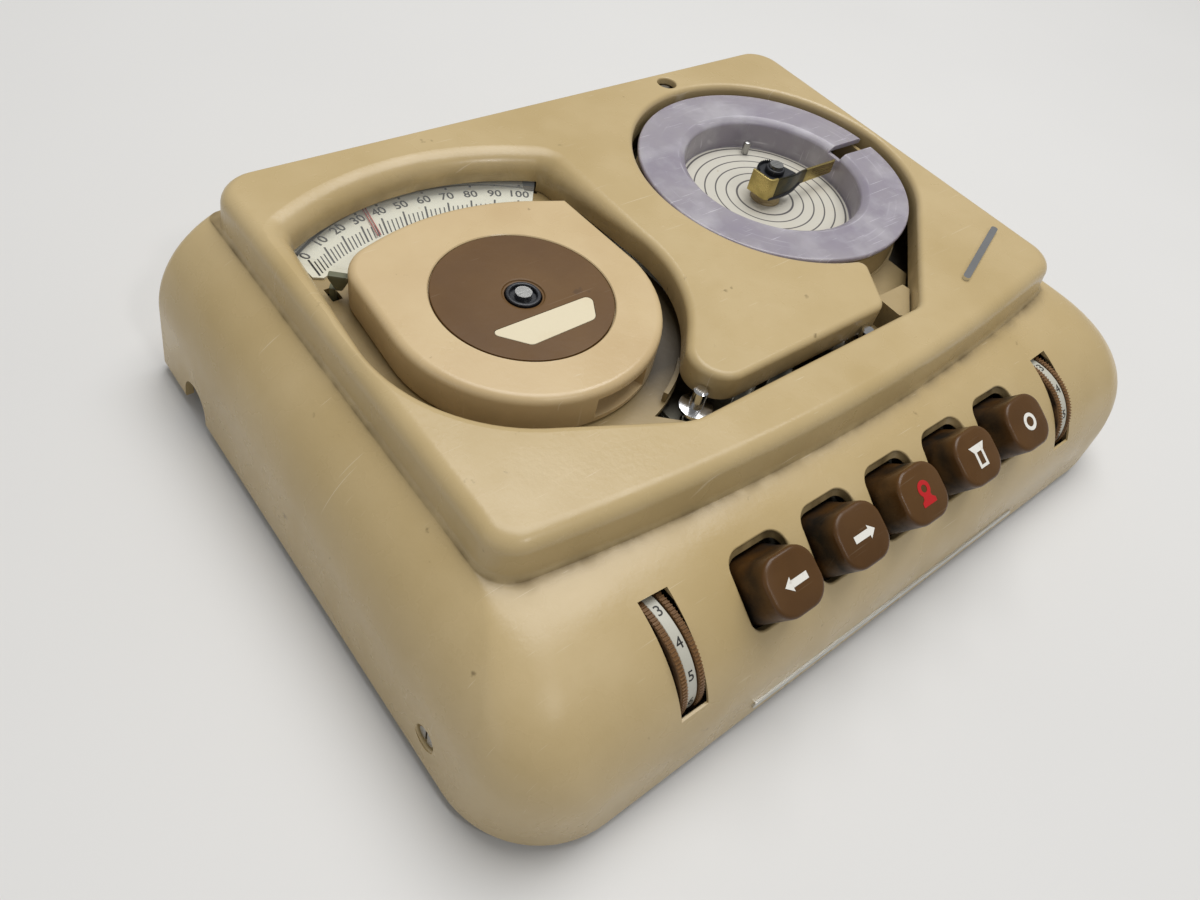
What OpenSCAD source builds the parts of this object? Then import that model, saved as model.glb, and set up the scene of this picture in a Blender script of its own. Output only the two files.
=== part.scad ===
// Desk-top reel-to-reel tape recorder with a drop-in tape cassette and an open take-up reel.
// Millimetres, +Z up, standing on its feet at Z 0, front edge towards -Y, centred on X and Y.

/* [Case] */
// Width of the case at its rim
case_w = 290; // [282:1:310]
// Depth of the case from the front rim to the flat back
case_d = 206; // [202:1:220]
// Height of the case from its rim to the top of the deck
case_h = 62.5; // [61:0.5:66]
// Wall thickness of the moulding
case_wall = 2.6; // [2:0.1:3.2]
// Height of the rim above the table
foot_drop = 4; // [3:0.5:6]
// Height of the shoulder crease above the rim
shoulder_h = 50.2; // [49.5:0.1:51]
// Draft angle of the skirt
skirt_draft = 6; // [4:0.5:7]
// Radius of the side shoulders
side_r = 34; // [33:0.5:36]
// Height above the rim where the side shoulders start
side_start = 22.5; // [21:0.5:23]
// Radius of the front shoulder
front_r = 42; // [41.5:0.5:44]
// Height above the rim where the front shoulder starts
front_start = 12.8; // [11:0.2:13]
// Forward bow of the front edge of the raised deck
deck_bow = 8.5; // [4:0.5:10]
// Plan radius of the front corners at the rim
rim_corner_r = 30; // [24:1:34]
// Plan radius of the front corners of the raised deck
deck_corner_r = 11; // [9:1:16]
// Plan radius of the rear corners of the raised deck
deck_rear_r = 12; // [8:1:16]
// Rounding of the deck's upper edge
deck_edge_r = 6; // [4:0.5:7]

/* [Wells] */
// Centre of the supply spindle across the deck
supply_x = -64.5; // [-66:0.5:-63]
// Centre of the supply spindle along the deck
supply_y = 18; // [16:0.5:19]
// Centre of the take-up spindle across the deck
takeup_x = 60.5; // [59:0.5:62]
// Centre of the take-up spindle along the deck
takeup_y = 35; // [33:0.5:36]
// Radius of the cassette well round the supply spindle
supply_well_r = 48.5; // [47:0.5:50]
// Radius of the reel well round the take-up spindle
takeup_well_r = 53.5; // [53:0.5:55]
// Radius of the wall behind the scale
scale_wall_r = 67; // [66:0.5:68]
// Depth of the collar round the wells
collar_depth = 9.5; // [8:0.5:10]
// Front wall of the tape slot
slot_front_y = -43.5; // [-45:0.5:-43]
// Rear wall of the tape slot
slot_rear_y = -38; // [-38.5:0.25:-37]

/* [Cassette] */
// Radius of the round part of the cassette
cassette_r = 41.5; // [40:0.5:42]
// Depth of the cassette behind its spindle
cassette_rear = 42; // [40:0.5:43]
// Thickness of the cassette
cassette_t = 13; // [12.5:0.25:13.25]
// Wall of the cassette
cassette_wall = 1.8; // [1.4:0.1:2]
// Diameter of the inset disc
disc_d = 53.6; // [48:0.4:56]
// Width of the tape
tape_w = 6.3; // [6:0.1:6.5]
// Outer radius of the tape wound on the supply hub
pack_r = 35; // [24:1:37]

/* [Take-up reel] */
// Outer radius of the flange
reel_r = 51.2; // [50:0.2:52]
// Inner radius of the flange
reel_inner_r = 35; // [33:0.5:37]
// Height of the flange top below the deck
reel_sink = 2.5; // [2:0.1:3]
// Width of the gap in the flange
reel_gap = 6; // [4:0.5:7]
// Direction of the gap in the flange
reel_gap_angle = -2; // [-20:1:20]

/* [Controls] */
// Spacing of the push buttons
button_pitch = 27.4; // [25:0.2:28]
// Width of a button cap
button_w = 18.5; // [16:0.5:19.5]
// Height of a button cap
button_h = 18; // [16:0.5:19]
// How far a button stands out of the case
button_out = 10.5; // [8:0.5:12]
// Travel of a push button
button_travel = 4; // [3:0.5:5]
// Tilt of the button axis above the horizontal
button_tilt = 45; // [43:1:47]
// Gap round a button in its hole
button_gap = 0.9; // [0.6:0.1:1.2]
// Gap above a button in its hole
button_gap_top = 3; // [2:0.2:3.2]
// Radius of a thumbwheel
wheel_r = 20; // [19:0.5:20.5]
// Width of a thumbwheel
wheel_w = 8; // [6:0.5:8.5]
// Distance of the thumbwheels from the middle
wheel_x = 88; // [86:0.5:90]
// Gap each side of a thumbwheel in its slot
wheel_gap = 0.65; // [0.5:0.05:1]

/* [Mechanism] */
// Thickness of the chassis plate
plate_t = 1.5; // [1.2:0.1:2]
// Height of the chassis plate above the table
plate_z = 36; // [35:0.5:37]
// Diameter of the two reel spindles
spindle_d = 5; // [4:0.5:6]
// Diameter of the capstan
capstan_d = 4; // [3:0.5:5]
// Running clearance of shafts in their bearings, on the radius
run_gap = 0.05; // [0.03:0.01:0.08]
// Diameter of the flywheel
flywheel_d = 50; // [44:1:52]
// Diameter of the motor pulley
pulley_d = 9; // [7:0.5:11]
// Diameter of the motor
motor_d = 50; // [44:1:52]
// Diameter of the pinch roller
pinch_d = 13; // [11:0.5:14]
// Diameter of a rubber foot
foot_d = 18; // [14:1:22]
// Diameter of the screw shanks
screw_d = 3; // [2.6:0.2:3.4]

/* [Hidden] */
$fn = 48;

// Colours of the real pieces
tan_plastic = "#c3a983";
cream_plastic = "#cdb48a";
brown_plastic = "#5f4033";
black_plastic = "#1d1f26";
lilac_plastic = "#b9b2c8";
paper_white = "#e8e6da";
steel = "#a9abad";
brass = "#8d7a3e";
dark_rubber = "#232323";
red_paint = "#a33228";

// Heights
rim_z = foot_drop;
top_z = rim_z + case_h;
base_z = rim_z + 1;
base_t = 1.5;
base_top = base_z + base_t;
plate_top = plate_z + plate_t;
collar_z = top_z - collar_depth;
window_t = 1;
ledge_z = collar_z - window_t;
tray_t = 2;
tray_top = ledge_z - 3;
seat_gap = 0.5;
cassette_top = tray_top + seat_gap + cassette_t;
cassette_z = tray_top + seat_gap;
flange_top = top_z - reel_sink;
flange_t = 2;

// Plan of the case
half_w = case_w / 2;
front_y = -case_d / 2;
back_y = case_d / 2;
supply = [supply_x, supply_y];
takeup = [takeup_x, takeup_y];

// Skirt profile: how far the wall stands in from the rim at height h, measured in by d
function shoulder(h, r, start, d) =
    let (mid_h = start - r * sin(skirt_draft), mid_in = start * tan(skirt_draft) + r * cos(skirt_draft))
    h < start
        ? h * tan(skirt_draft) + d
        : mid_in - sqrt(max(0, pow(r - d, 2) - pow(h - mid_h, 2)));
function side_in(h, d = 0) = shoulder(h, side_r, side_start, d);
function front_in(h, d = 0) = shoulder(h, front_r, front_start, d);
foot_side = side_in(shoulder_h);
foot_front = front_in(shoulder_h);

// Closed outline of one level: half width w, front line yf with its bow, back line yb, corner radii
corner_steps = 8;
front_steps = 10;
rear_steps = 3;
function level(z, w, yf, yb, bow, rf, rb) =
    let (
        lean = atan(2 * bow / (w - rf)),
        end_x = w - rf + rf * sin(lean),
        mid_y = yf + bow + rf * cos(lean)
    )
    concat(
        [for (i = [0 : corner_steps]) let (a = 180 + (90 - lean) * i / corner_steps)
            [rf - w + rf * cos(a), mid_y + rf * sin(a), z]],
        [for (i = [1 : front_steps - 1]) let (t = 2 * i / front_steps - 1)
            [end_x * t, yf + bow * t * t, z]],
        [for (i = [0 : corner_steps]) let (a = 270 + lean + (90 - lean) * i / corner_steps)
            [w - rf + rf * cos(a), mid_y + rf * sin(a), z]],
        [for (i = [0 : rear_steps]) let (a = 90 * i / rear_steps)
            [w - rb + rb * cos(a), yb - rb + rb * sin(a), z]],
        [for (i = [0 : rear_steps]) let (a = 90 + 90 * i / rear_steps)
            [rb - w + rb * cos(a), yb - rb + rb * sin(a), z]]
    );

// One level of the skirt at height h above the rim, its wall moved in by d
skirt_rear_r = 4;
function skirt_level(h, d) =
    let (part = max(0, h) / shoulder_h, inset = front_in(h, d))
    level(
        rim_z + h, half_w - side_in(h, d), front_y + inset, back_y - d,
        deck_bow * pow(min(1, inset / foot_front), 2),
        rim_corner_r + (deck_corner_r - rim_corner_r) * part - d, skirt_rear_r - d / 2
    );
// One level of the raised deck, moved in by d from the crease
function deck_level(z, d, rear_d) =
    level(z, half_w - foot_side - d, front_y + foot_front + d, back_y - rear_d, deck_bow, deck_corner_r - d / 2,
        deck_rear_r - d / 2);

skirt_heights = [0, front_start, side_start, 27, 31, 35, 38.5, 41.5, 44, 46, 48, 49.3];
deck_lean = 1.8;
edge_angles = [0, 25, 50, 70, 90];
outer_levels = concat(
    [for (h = skirt_heights) skirt_level(h, 0)],
    [skirt_level(shoulder_h, 0)],
    [deck_level(rim_z + shoulder_h + 0.7, 0.6, 0)],
    [deck_level(rim_z + shoulder_h + 2, 1.1, 0)],
    [for (a = edge_angles) deck_level(top_z - deck_edge_r * (1 - sin(a)),
        deck_lean + deck_edge_r * (1 - cos(a)), 0.5 * deck_edge_r * (1 - cos(a)))]
);
inner_heights = [front_start, side_start, 29, 35, 40, 44];
inner_levels = concat(
    [skirt_level(-1, case_wall)],
    [for (h = inner_heights) skirt_level(h, case_wall)],
    [skirt_level(shoulder_h - case_wall, case_wall)],
    [deck_level(rim_z + shoulder_h - case_wall + 1, deck_lean + case_wall, case_wall)],
    [deck_level(top_z - case_wall - 1, deck_lean + case_wall, case_wall)],
    [deck_level(top_z - case_wall, deck_lean + case_wall + 1, case_wall + 0.5)]
);

// Solid between closed outlines of equal point count, given from the lowest up
module loft(levels) {
    n = len(levels[0]);
    m = len(levels);
    sides = [for (i = [0 : m - 2]) for (j = [0 : n - 1]) let (k = (j + 1) % n) each [
        [i * n + j, (i + 1) * n + j, (i + 1) * n + k],
        [i * n + j, (i + 1) * n + k, i * n + k]
    ]];
    lower = [[for (j = [0 : n - 1]) j]];
    upper = [[for (j = [n - 1 : -1 : 0]) (m - 1) * n + j]];
    polyhedron(points = [for (l = levels) each l], faces = concat(lower, sides, upper), convexity = 6);
}

// Closed path through corners [x, y, radius], each rounded by its radius
path_steps = 8;
function unit(v) = v / norm(v);
function flat(v) = [v[0], v[1]];
function round_corner(a, p, b, r) =
    let (
        u = unit(a - p), w = unit(b - p),
        half = acos(max(-1, min(1, u * w))) / 2,
        mid = p + unit(u + w) * r / sin(half),
        from = p + u * r / tan(half) - mid,
        to = p + w * r / tan(half) - mid,
        a0 = atan2(from[1], from[0]),
        turn = atan2(from[0] * to[1] - from[1] * to[0], from * to)
    )
    [for (i = [0 : path_steps]) mid + r * [cos(a0 + turn * i / path_steps), sin(a0 + turn * i / path_steps)]];
function round_path(v) =
    let (n = len(v))
    [for (i = [0 : n - 1])
        each round_corner(flat(v[(i + n - 1) % n]), flat(v[i]), flat(v[(i + 1) % n]), v[i][2])];
// The same path with every side moved out by d; paths here run clockwise
function shift_path(p, d) =
    let (n = len(p))
    [for (i = [0 : n - 1])
        let (
            u = unit(p[i] - p[(i + n - 1) % n]), w = unit(p[(i + 1) % n] - p[i]),
            side = unit(unit([-u[1], u[0]]) + unit([-w[1], w[0]])),
            share = max(0.5, side * [-u[1], u[0]])
        )
        p[i] + side * d / share];
// The path without points closer than gap to the one before
function spaced(p, gap) =
    let (n = len(p))
    [for (i = [0 : n - 1]) if (norm(p[i] - p[(i + n - 1) % n]) > gap) p[i]];
// Corner whose rounding with radius r is the arc about c from angle a0 to a1
function arc_corner(c, r, a0, a1) =
    concat(c + r / cos((a0 - a1) / 2) * [cos((a0 + a1) / 2), sin((a0 + a1) / 2)], [r - 0.05]);

// Outline of the open deck: cassette well with its scale, tape slot and reel well, clockwise
scale_from = 129;
scale_to = 51;
// The wall behind the scale is a flatter arc than the scale itself
wall_centre = supply - [0, 24.7];
wall_arc_r = scale_wall_r + 24;
wall_from = 116.8;
wall_to = 180 - wall_from;
function wall_point(a, on) = wall_centre + wall_arc_r * [cos(a), sin(a)] + on * [sin(a), -cos(a)];
well_path = round_path(concat(
    [concat(wall_point(wall_from, -4.5), [4])],
    [arc_corner(wall_centre, wall_arc_r, wall_from, wall_to)],
    [concat(wall_point(wall_to, 6), [5])],
    [arc_corner(supply + [0, 2.5], supply_well_r + 2, 5, -44)],
    [[supply_x + 13.7, slot_rear_y, 10]],
    [[takeup_x - 23, slot_rear_y, 6]],
    [[takeup_x - 11, takeup_y - takeup_well_r - 0.5, 3.5]],
    [for (i = [0 : 4]) arc_corner(takeup, takeup_well_r, 253 - 60.8 * i, 192.2 - 60.8 * i)],
    [[takeup_x - 11.9, slot_front_y, 8]],
    [[supply_x + 12.6, slot_front_y, 20]],
    [arc_corner(supply, supply_well_r + 0.7, 243, 172)]
));

// Outline of the cassette, clockwise, and of its levels
cassette_rear_r = 80;
// The cassette lies a little turned in its well
cassette_turn = -3.5;
cassette_axes = [[cos(cassette_turn), -sin(cassette_turn)], [sin(cassette_turn), cos(cassette_turn)]];
cassette_path = spaced([for (p = round_path([
    [-cassette_r, cassette_rear - 8.5, 7],
    arc_corner([0, cassette_rear - cassette_rear_r], cassette_rear_r, 112, 68),
    [cassette_r, cassette_rear - 8.5, 6],
    arc_corner([0, 0], cassette_r, 0, -90),
    arc_corner([0, 0], cassette_r, -90, -180)
])) supply + cassette_axes * p], 0.4);
cassette_edge_r = 2.4;
function cassette_level(z, d) = [for (p = shift_path(cassette_path, -d)) [p[0], p[1], z]];
function reversed(p) = [for (i = [len(p) - 1 : -1 : 0]) p[i]];

// Button axis: origin on the front shoulder, Z along the axis out of the case
button_mid_h = 40.6;
button_mid = [front_y + front_in(button_mid_h), rim_z + button_mid_h];
button_names = [-2, -1, 0, 1, 2];
module on_shoulder(x) {
    translate([x, button_mid[0], button_mid[1]]) rotate([90 - button_tilt, 0, 0]) children();
}

// Rounded square of size w by h, as points at height z
function square_level(w, h, r, z) =
    [for (c = [[-1, -1, 180], [1, -1, 270], [1, 1, 0], [-1, 1, 90]]) for (i = [0 : 5])
        let (a = c[2] + 90 * i / 5)
        [c[0] * (w / 2 - r) + r * cos(a), c[1] * (h / 2 - r) + r * sin(a), z]];

// Screw with a raised slotted head; head on top of the shank, shank end at Z 0
module screw(shank, head_d, head_h, shank_d = screw_d) {
    difference() {
        union() {
            cylinder(d = shank_d, h = shank);
            translate([0, 0, shank]) cylinder(d = head_d, h = head_h);
        }
        translate([-head_d, -0.4, shank + head_h / 2]) cube([2 * head_d, 0.8, head_h]);
    }
}
module ring(r_out, r_in, h) {
    rotate_extrude() translate([r_in, 0]) square([r_out - r_in, h]);
}
// Flat sector between two radii and two angles, about the supply spindle
sector_steps = 16;
module supply_sector(r_in, r_out, a0, a1, h) {
    arc = [for (i = [0 : sector_steps]) a0 + (a1 - a0) * i / sector_steps];
    linear_extrude(h) polygon([
        for (a = arc) supply + r_out * [cos(a), sin(a)],
        for (a = reversed(arc)) supply + r_in * [cos(a), sin(a)]
    ]);
}

// Places of the base screws, the feet and the chassis posts
boss_spots = [for (x = [-1, 1]) each [[x * (half_w - 18), front_y + 42], [x * (half_w - 18), back_y - 14]]];
boss_d = 9;
foot_spots = [for (x = [-1, 1]) each [[x * (half_w - 30), front_y + 28], [x * (half_w - 30), back_y - 24]]];
post_spots = [for (x = [-1, 1]) each [[x * (half_w - 37), front_y + 57], [x * (half_w - 37), back_y - 15]]];
post_d = 8;
// Places of the screws that hold the case to the chassis
side_screw_y = front_y + 41;
side_screw_z = rim_z + 11.5;
top_screw = [58, back_y - 8];
screw_recess_d = 7.5;
recess_depth = 4.5;
side_recess = 2.2;
side_face = half_w - side_in(side_screw_z - rim_z);
side_boss_in = 4.4;
ear_t = 1.6;
// Cable notch in the left side
notch_y = back_y - 28;
notch_w = 15;
notch_h = 10.5;

top_boss_h = 12;
// Side screw axis: origin sunk by depth into the side, Z pointing out
module at_side(s, depth) {
    translate([s * (side_face - depth), side_screw_y, side_screw_z]) rotate([0, s * 90, 0]) children();
}

module boss_bores() {
    for (p = boss_spots) translate([p[0], p[1], base_top - 1]) cylinder(d = screw_d - 0.4, h = 14);
}

module button_hole(x) {
    hole_h = button_h + button_gap + button_gap_top;
    on_shoulder(x) translate([0, (button_gap_top - button_gap) / 2, -16]) linear_extrude(34)
        polygon([for (p = square_level(button_w + 2 * button_gap, hole_h, 5, 0)) flat(p)]);
}

// Thumbwheel: centre behind the front shoulder
wheel_out = 1.6;
wheel_mid_h = 38;
wheel_tilt = 44.5;
wheel_mid = [front_y + front_in(wheel_mid_h), rim_z + wheel_mid_h]
    + (wheel_out - wheel_r) * [-cos(wheel_tilt), sin(wheel_tilt)];
slot_low = rim_z + 25;
slot_high = rim_z + 47.2;
wheel_bore = 4;
module wheel_slot(x) {
    slot_w = wheel_w + 2 * wheel_gap;
    translate([x - slot_w / 2, front_y - 5, slot_low]) cube([slot_w, 46, slot_high - slot_low]);
    translate([x - slot_w / 2, wheel_mid[0], wheel_mid[1]]) rotate([0, 90, 0])
        cylinder(r = wheel_r + wheel_gap, h = slot_w);
}

module upper_case() color(tan_plastic) {
    difference() {
        union() {
            difference() {
                loft(outer_levels);
                difference() {
                    loft(inner_levels);
                    for (p = boss_spots) translate([p[0], p[1], base_top]) cylinder(d = boss_d, h = case_h);
                    translate([top_screw[0], top_screw[1], top_z - top_boss_h])
                        cylinder(d = screw_recess_d + 4, h = top_boss_h);
                    for (s = [-1, 1]) at_side(s, side_boss_in)
                        cylinder(d = screw_recess_d + 4, h = case_wall);
                }
            }
            translate([0, 0, collar_z]) linear_extrude(collar_depth - 1)
                polygon(shift_path(well_path, case_wall - 0.6));
            // Right of the scale window the wall runs on down to the floor
            translate([0, 0, tray_top + 0.3]) intersection() {
                linear_extrude(collar_z - tray_top) polygon(shift_path(well_path, case_wall - 0.6));
                supply_sector(supply_well_r + 2, scale_wall_r + 12, 36, scale_to - 0.5, 20);
            }
        }
        translate([0, 0, collar_z - 10]) linear_extrude(collar_depth + 20) polygon(well_path);
        for (i = button_names) button_hole(i * button_pitch);
        for (s = [-1, 1]) wheel_slot(s * wheel_x);
        boss_bores();
        translate([-half_w - 2, notch_y - notch_w / 2, rim_z - 2]) cube([12, notch_w, notch_h - 2]);
        translate([-half_w - 2, notch_y, rim_z + notch_h - notch_w / 2]) rotate([0, 90, 0])
            cylinder(d = notch_w, h = 12);
        for (s = [-1, 1]) {
            at_side(s, 2 * side_boss_in) cylinder(d = screw_d + 0.6, h = 3 * side_boss_in);
            at_side(s, side_recess) cylinder(d = screw_recess_d, h = 10);
        }
        translate([top_screw[0], top_screw[1], top_z - recess_depth]) cylinder(d = screw_recess_d, h = 10);
        translate([top_screw[0], top_screw[1], top_z - top_boss_h - 1])
            cylinder(d = screw_d + 0.6, h = top_boss_h);
    }
}

base_gap = 0.4;
ear_w = 12;
module base_plate() color("#6d5a45") {
    vents = [for (x = [-3 : 3]) x * 14];
    difference() {
        translate([0, 0, base_z]) linear_extrude(base_t)
            polygon([for (p = skirt_level(base_z - rim_z, case_wall + base_gap)) flat(p)]);
        for (p = boss_spots) translate([p[0], p[1], 0]) cylinder(d = screw_d + 0.5, h = 20);
        for (p = foot_spots) translate([p[0], p[1], 0]) cylinder(d = screw_d, h = 20);
        for (p = post_spots) translate([p[0], p[1], 0]) cylinder(d = screw_d, h = 20);
        for (x = vents) translate([x - 2.5, 20, 0]) cube([5, 40, 20]);
    }
    for (s = [-1, 1]) difference() {
        at_side(s, side_boss_in + ear_t) linear_extrude(ear_t)
            translate([-5, -ear_w / 2]) square([side_screw_z - base_top + 5.5, ear_w]);
        at_side(s, 3 * side_boss_in) cylinder(d = screw_d, h = 3 * side_boss_in);
    }
}

foot_bore = screw_d + 0.4;
foot_recess = foot_drop - 1.4;
module rubber_feet() color(dark_rubber) {
    for (p = foot_spots) translate([p[0], p[1], 0]) difference() {
        rotate_extrude() polygon([
            [0, 0], [foot_d / 2 - 1.2, 0], [foot_d / 2, 1], [foot_d / 2 - 1, base_z], [0, base_z]]);
        translate([0, 0, -1]) cylinder(d = foot_bore, h = 20);
        translate([0, 0, -1]) cylinder(d = 7, h = 1 + foot_recess);
    }
}
module foot_screws() color(steel) {
    head_h = 1.6;
    for (p = foot_spots) translate([p[0], p[1], base_top + 2]) mirror([0, 0, 1])
        screw(base_top + 2 - foot_recess, 6, head_h);
}
module base_screws() color(steel) {
    for (p = boss_spots) translate([p[0], p[1], base_top + 8]) mirror([0, 0, 1])
        screw(base_t + 8, 6, 1.8, screw_d - 0.4);
}
module case_screws() color(steel) {
    shank = 12;
    side_shank = 6;
    translate([top_screw[0], top_screw[1], top_z - recess_depth - shank]) screw(shank, 6, 1.8);
    for (s = [-1, 1]) at_side(s, side_recess + side_shank) screw(side_shank, 6, 1.6);
}

// Mechanism places
tape_y = slot_rear_y - 0.5;
guide_r = 2.6;
capstan = [16, tape_y + capstan_d / 2 + 0.2];
motor_at = [2, 58];
roller_at = capstan + [0, -(capstan_d + pinch_d) / 2 - 0.5];
arm_pivot = roller_at + [26, -6];
tray_spots = [for (p = [[-40, -6], [-46, 22], [18, -38], [46, 12]]) supply + p];
reel_spots = [for (a = [60, 180, 300]) takeup + 38 * [cos(a), sin(a)]];
tray_post_d = 6;

// Edges of the chassis plate, and the cut in its front edge for the button stems
plate_side = half_w - 31;
plate_front = front_y + 49;
plate_rear = back_y - 5;
stem_cut_w = 4 * button_pitch + 42.4;
stem_cut_d = 8;
module chassis_plate() color("#8f8a7c") {
    difference() {
        translate([-plate_side, plate_front, plate_z])
            cube([2 * plate_side, plate_rear - plate_front, plate_t]);
        for (p = post_spots) translate([p[0], p[1], 0]) cylinder(d = screw_d, h = 60);
        for (c = [supply, takeup, capstan]) translate([c[0], c[1], 0]) cylinder(d = bearing_d, h = 60);
        translate([-stem_cut_w / 2, plate_front - 1, 0]) cube([stem_cut_w, stem_cut_d + 1, 60]);
    }
}
module chassis_posts() color(steel) {
    for (p = post_spots) {
        translate([p[0], p[1], base_top]) cylinder(d = post_d, h = plate_z - base_top);
        translate([p[0], p[1], base_z]) cylinder(d = screw_d, h = base_t + 4);
        translate([p[0], p[1], plate_z - 0.5]) cylinder(d = screw_d, h = plate_t + 2);
    }
    translate([top_screw[0], top_screw[1], plate_top]) difference() {
        cylinder(d = post_d, h = top_z - top_boss_h - plate_top);
        translate([0, 0, top_z - top_boss_h - plate_top - 10]) cylinder(d = screw_d, h = 20);
    }
}

// Bearings: flanged bushes in the chassis plate
bearing_d = 10;
bearing_low = plate_z - 8;
module bearing(c, d, low, high, shoulder_top) {
    translate([c[0], c[1], 0]) difference() {
        union() {
            translate([0, 0, low]) cylinder(d = bearing_d, h = high - low);
            translate([0, 0, plate_top]) cylinder(d = bearing_d + 4, h = shoulder_top - plate_top);
        }
        translate([0, 0, low - 1]) cylinder(d = d + 2 * run_gap, h = high);
    }
}
play = 0.3;
pointer_arm_z = tray_top - tray_t - 3.6;
pointer_hub_h = 3;
supply_bearing_top = pointer_arm_z + pointer_hub_h + play;
module supply_bearing() color(brass)
    bearing(supply, spindle_d, bearing_low, supply_bearing_top, pointer_arm_z - play);
takeup_bearing_top = plate_top + 6;
module takeup_bearing() color(brass)
    bearing(takeup, spindle_d, bearing_low, takeup_bearing_top, plate_top + 1.5);
capstan_bearing_low = plate_z - 4;
module capstan_bearing() color(brass)
    bearing(capstan, capstan_d, capstan_bearing_low, plate_top + 4, plate_top + 1.5);

// Left floor moulding: floor, ledge under the scale window and its posts
pointer_slot_r = scale_wall_r + 4;
pointer_slot_w = 3.2;
ledge_in_r = scale_wall_r - 17.4;
ledge_out_r = ledge_in_r + 3;
hub_hole_d = 16;
// How far the floor runs under the deck
tray_lap = 3;
// Right edge of the floor, its opening for the tape round the cassette well, and the low wall beside that
tray_right = supply_x + supply_well_r + 4.5;
tape_way_r = supply_well_r + 1.3;
tape_way = [[13, -47], [20.6, -53.6], [24, -58], [24, -case_d], [case_w, -case_d], [case_w, -36], [30, -36]];
tape_wall_t = 1.4;
tape_wall_h = 3.6;
module cassette_tray() color(tan_plastic) {
    difference() {
        union() {
            translate([0, 0, tray_top - tray_t]) difference() {
                linear_extrude(tray_t) polygon(shift_path(well_path, tray_lap));
                translate([tray_right, -case_d, -1]) cube([case_w, 2 * case_d, 10]);
                difference() {
                    translate([0, 0, -1]) linear_extrude(10) polygon([for (p = tape_way) supply + p]);
                    translate([supply_x, supply_y, -2]) cylinder(r = tape_way_r, h = 20, $fn = 96);
                }
            }
            translate([0, 0, tray_top - 0.5])
                supply_sector(tape_way_r - tape_wall_t - 0.2, tape_way_r - 0.2, -66, -47, tape_wall_h + 0.5);
            translate([0, 0, tray_top - 0.5]) supply_sector(ledge_in_r, ledge_out_r, scale_to, scale_from,
                ledge_z - tray_top + 0.5);
            for (p = tray_spots) translate([p[0], p[1], plate_top])
                cylinder(d = tray_post_d, h = tray_top - tray_t / 2 - plate_top);
        }
        translate([supply_x, supply_y, 0]) cylinder(d = hub_hole_d, h = 100);
        translate([0, 0, tray_top - tray_t - 1]) supply_sector(pointer_slot_r - pointer_slot_w / 2,
            pointer_slot_r + pointer_slot_w / 2, scale_to - 1, scale_from + 1, tray_t + 2);
        translate([lever_at[0], lever_at[1], tray_top - tray_t - 1]) linear_extrude(tray_t + 2)
            square([lever_t + 2 * lever_gap, lever_w + 2 * lever_gap], center = true);
    }
}
// Right floor moulding: floor and the guard wall round the reel
guard_r = takeup_well_r - 3.2;
guard_t = 1.6;
reel_floor = tray_top - 2.7;
corner_z = collar_z + 2.5;
// Floor between the reel and the right end of the slot, and the raised block on it
corner_path = [for (p = [[-16, -30], [-16, -76], [-9, -77], [20, -56], [20, -30]]) takeup + p];
block_path = [for (p = [[-14, -65], [-14, -75], [-11, -77], [-5, -74.5], [1, -70], [0, -65]]) takeup + p];
module reel_tray() color(tan_plastic) {
    difference() {
        union() {
            translate([takeup_x, takeup_y, reel_floor - tray_t]) cylinder(r = guard_r + 0.8, h = tray_t);
            translate([0, 0, reel_floor - tray_t + 0.3]) linear_extrude(tray_t - 0.6) polygon(corner_path);
            translate([0, 0, reel_floor - 1]) linear_extrude(corner_z - reel_floor + 1) intersection() {
                polygon(block_path);
                polygon(shift_path(well_path, -0.6));
            }
            translate([takeup_x, takeup_y, reel_floor - 0.5]) rotate([0, 0, -100])
                rotate_extrude(angle = 110) translate([guard_r - guard_t, 0])
                    square([guard_t, flange_top - flange_t - 0.8 - reel_floor]);
            for (p = reel_spots) translate([p[0], p[1], plate_top])
                cylinder(d = tray_post_d, h = reel_floor - tray_t / 2 - plate_top);
        }
        translate([takeup_x, takeup_y, 0]) cylinder(d = hub_hole_d, h = 100);
    }
}

// Scale
scale_t = 0.8;
module scale_plate() color(paper_white) {
    translate([0, 0, tray_top]) supply_sector(ledge_out_r + 0.3, pointer_slot_r - pointer_slot_w / 2 - 0.2,
        scale_to, scale_from, scale_t);
}
module scale_window() color("#dfe8ea", 0.4) {
    translate([0, 0, ledge_z])
        supply_sector(ledge_in_r + 0.6, scale_wall_r + 4.2, scale_to, scale_from, window_t);
}
// Pointer: bush round the supply bearing, arm under the floor, post through the slot and red needle
pointer_zero = 125.5;
pointer_span = 70.5;
pointer_at = 35;
pointer_angle = pointer_zero - pointer_span * pointer_at / 100;
needle_z = tray_top + scale_t + 0.4;
module scale_pointer() color(red_paint) {
    translate([supply_x, supply_y, 0]) rotate([0, 0, pointer_angle]) {
        difference() {
            union() {
                translate([0, 0, pointer_arm_z]) cylinder(d = pointer_hub_d, h = pointer_hub_h);
                translate([0, -1.5, pointer_arm_z]) cube([pointer_slot_r + 1, 3, 1.4]);
            }
            cylinder(d = pointer_bore, h = 100);
        }
        translate([pointer_slot_r - 1, -1, pointer_arm_z]) cube([2, 2, needle_z + 0.4 - pointer_arm_z]);
        translate([ledge_out_r + 1, -0.35, needle_z]) cube([pointer_slot_r - ledge_out_r - 1, 0.7, 0.4]);
    }
}
pointer_bore = bearing_d + 2 * run_gap;
pointer_hub_d = bearing_d + 5;

// Cassette, lifted out upwards
hub_neck_r = 5.2;
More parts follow.
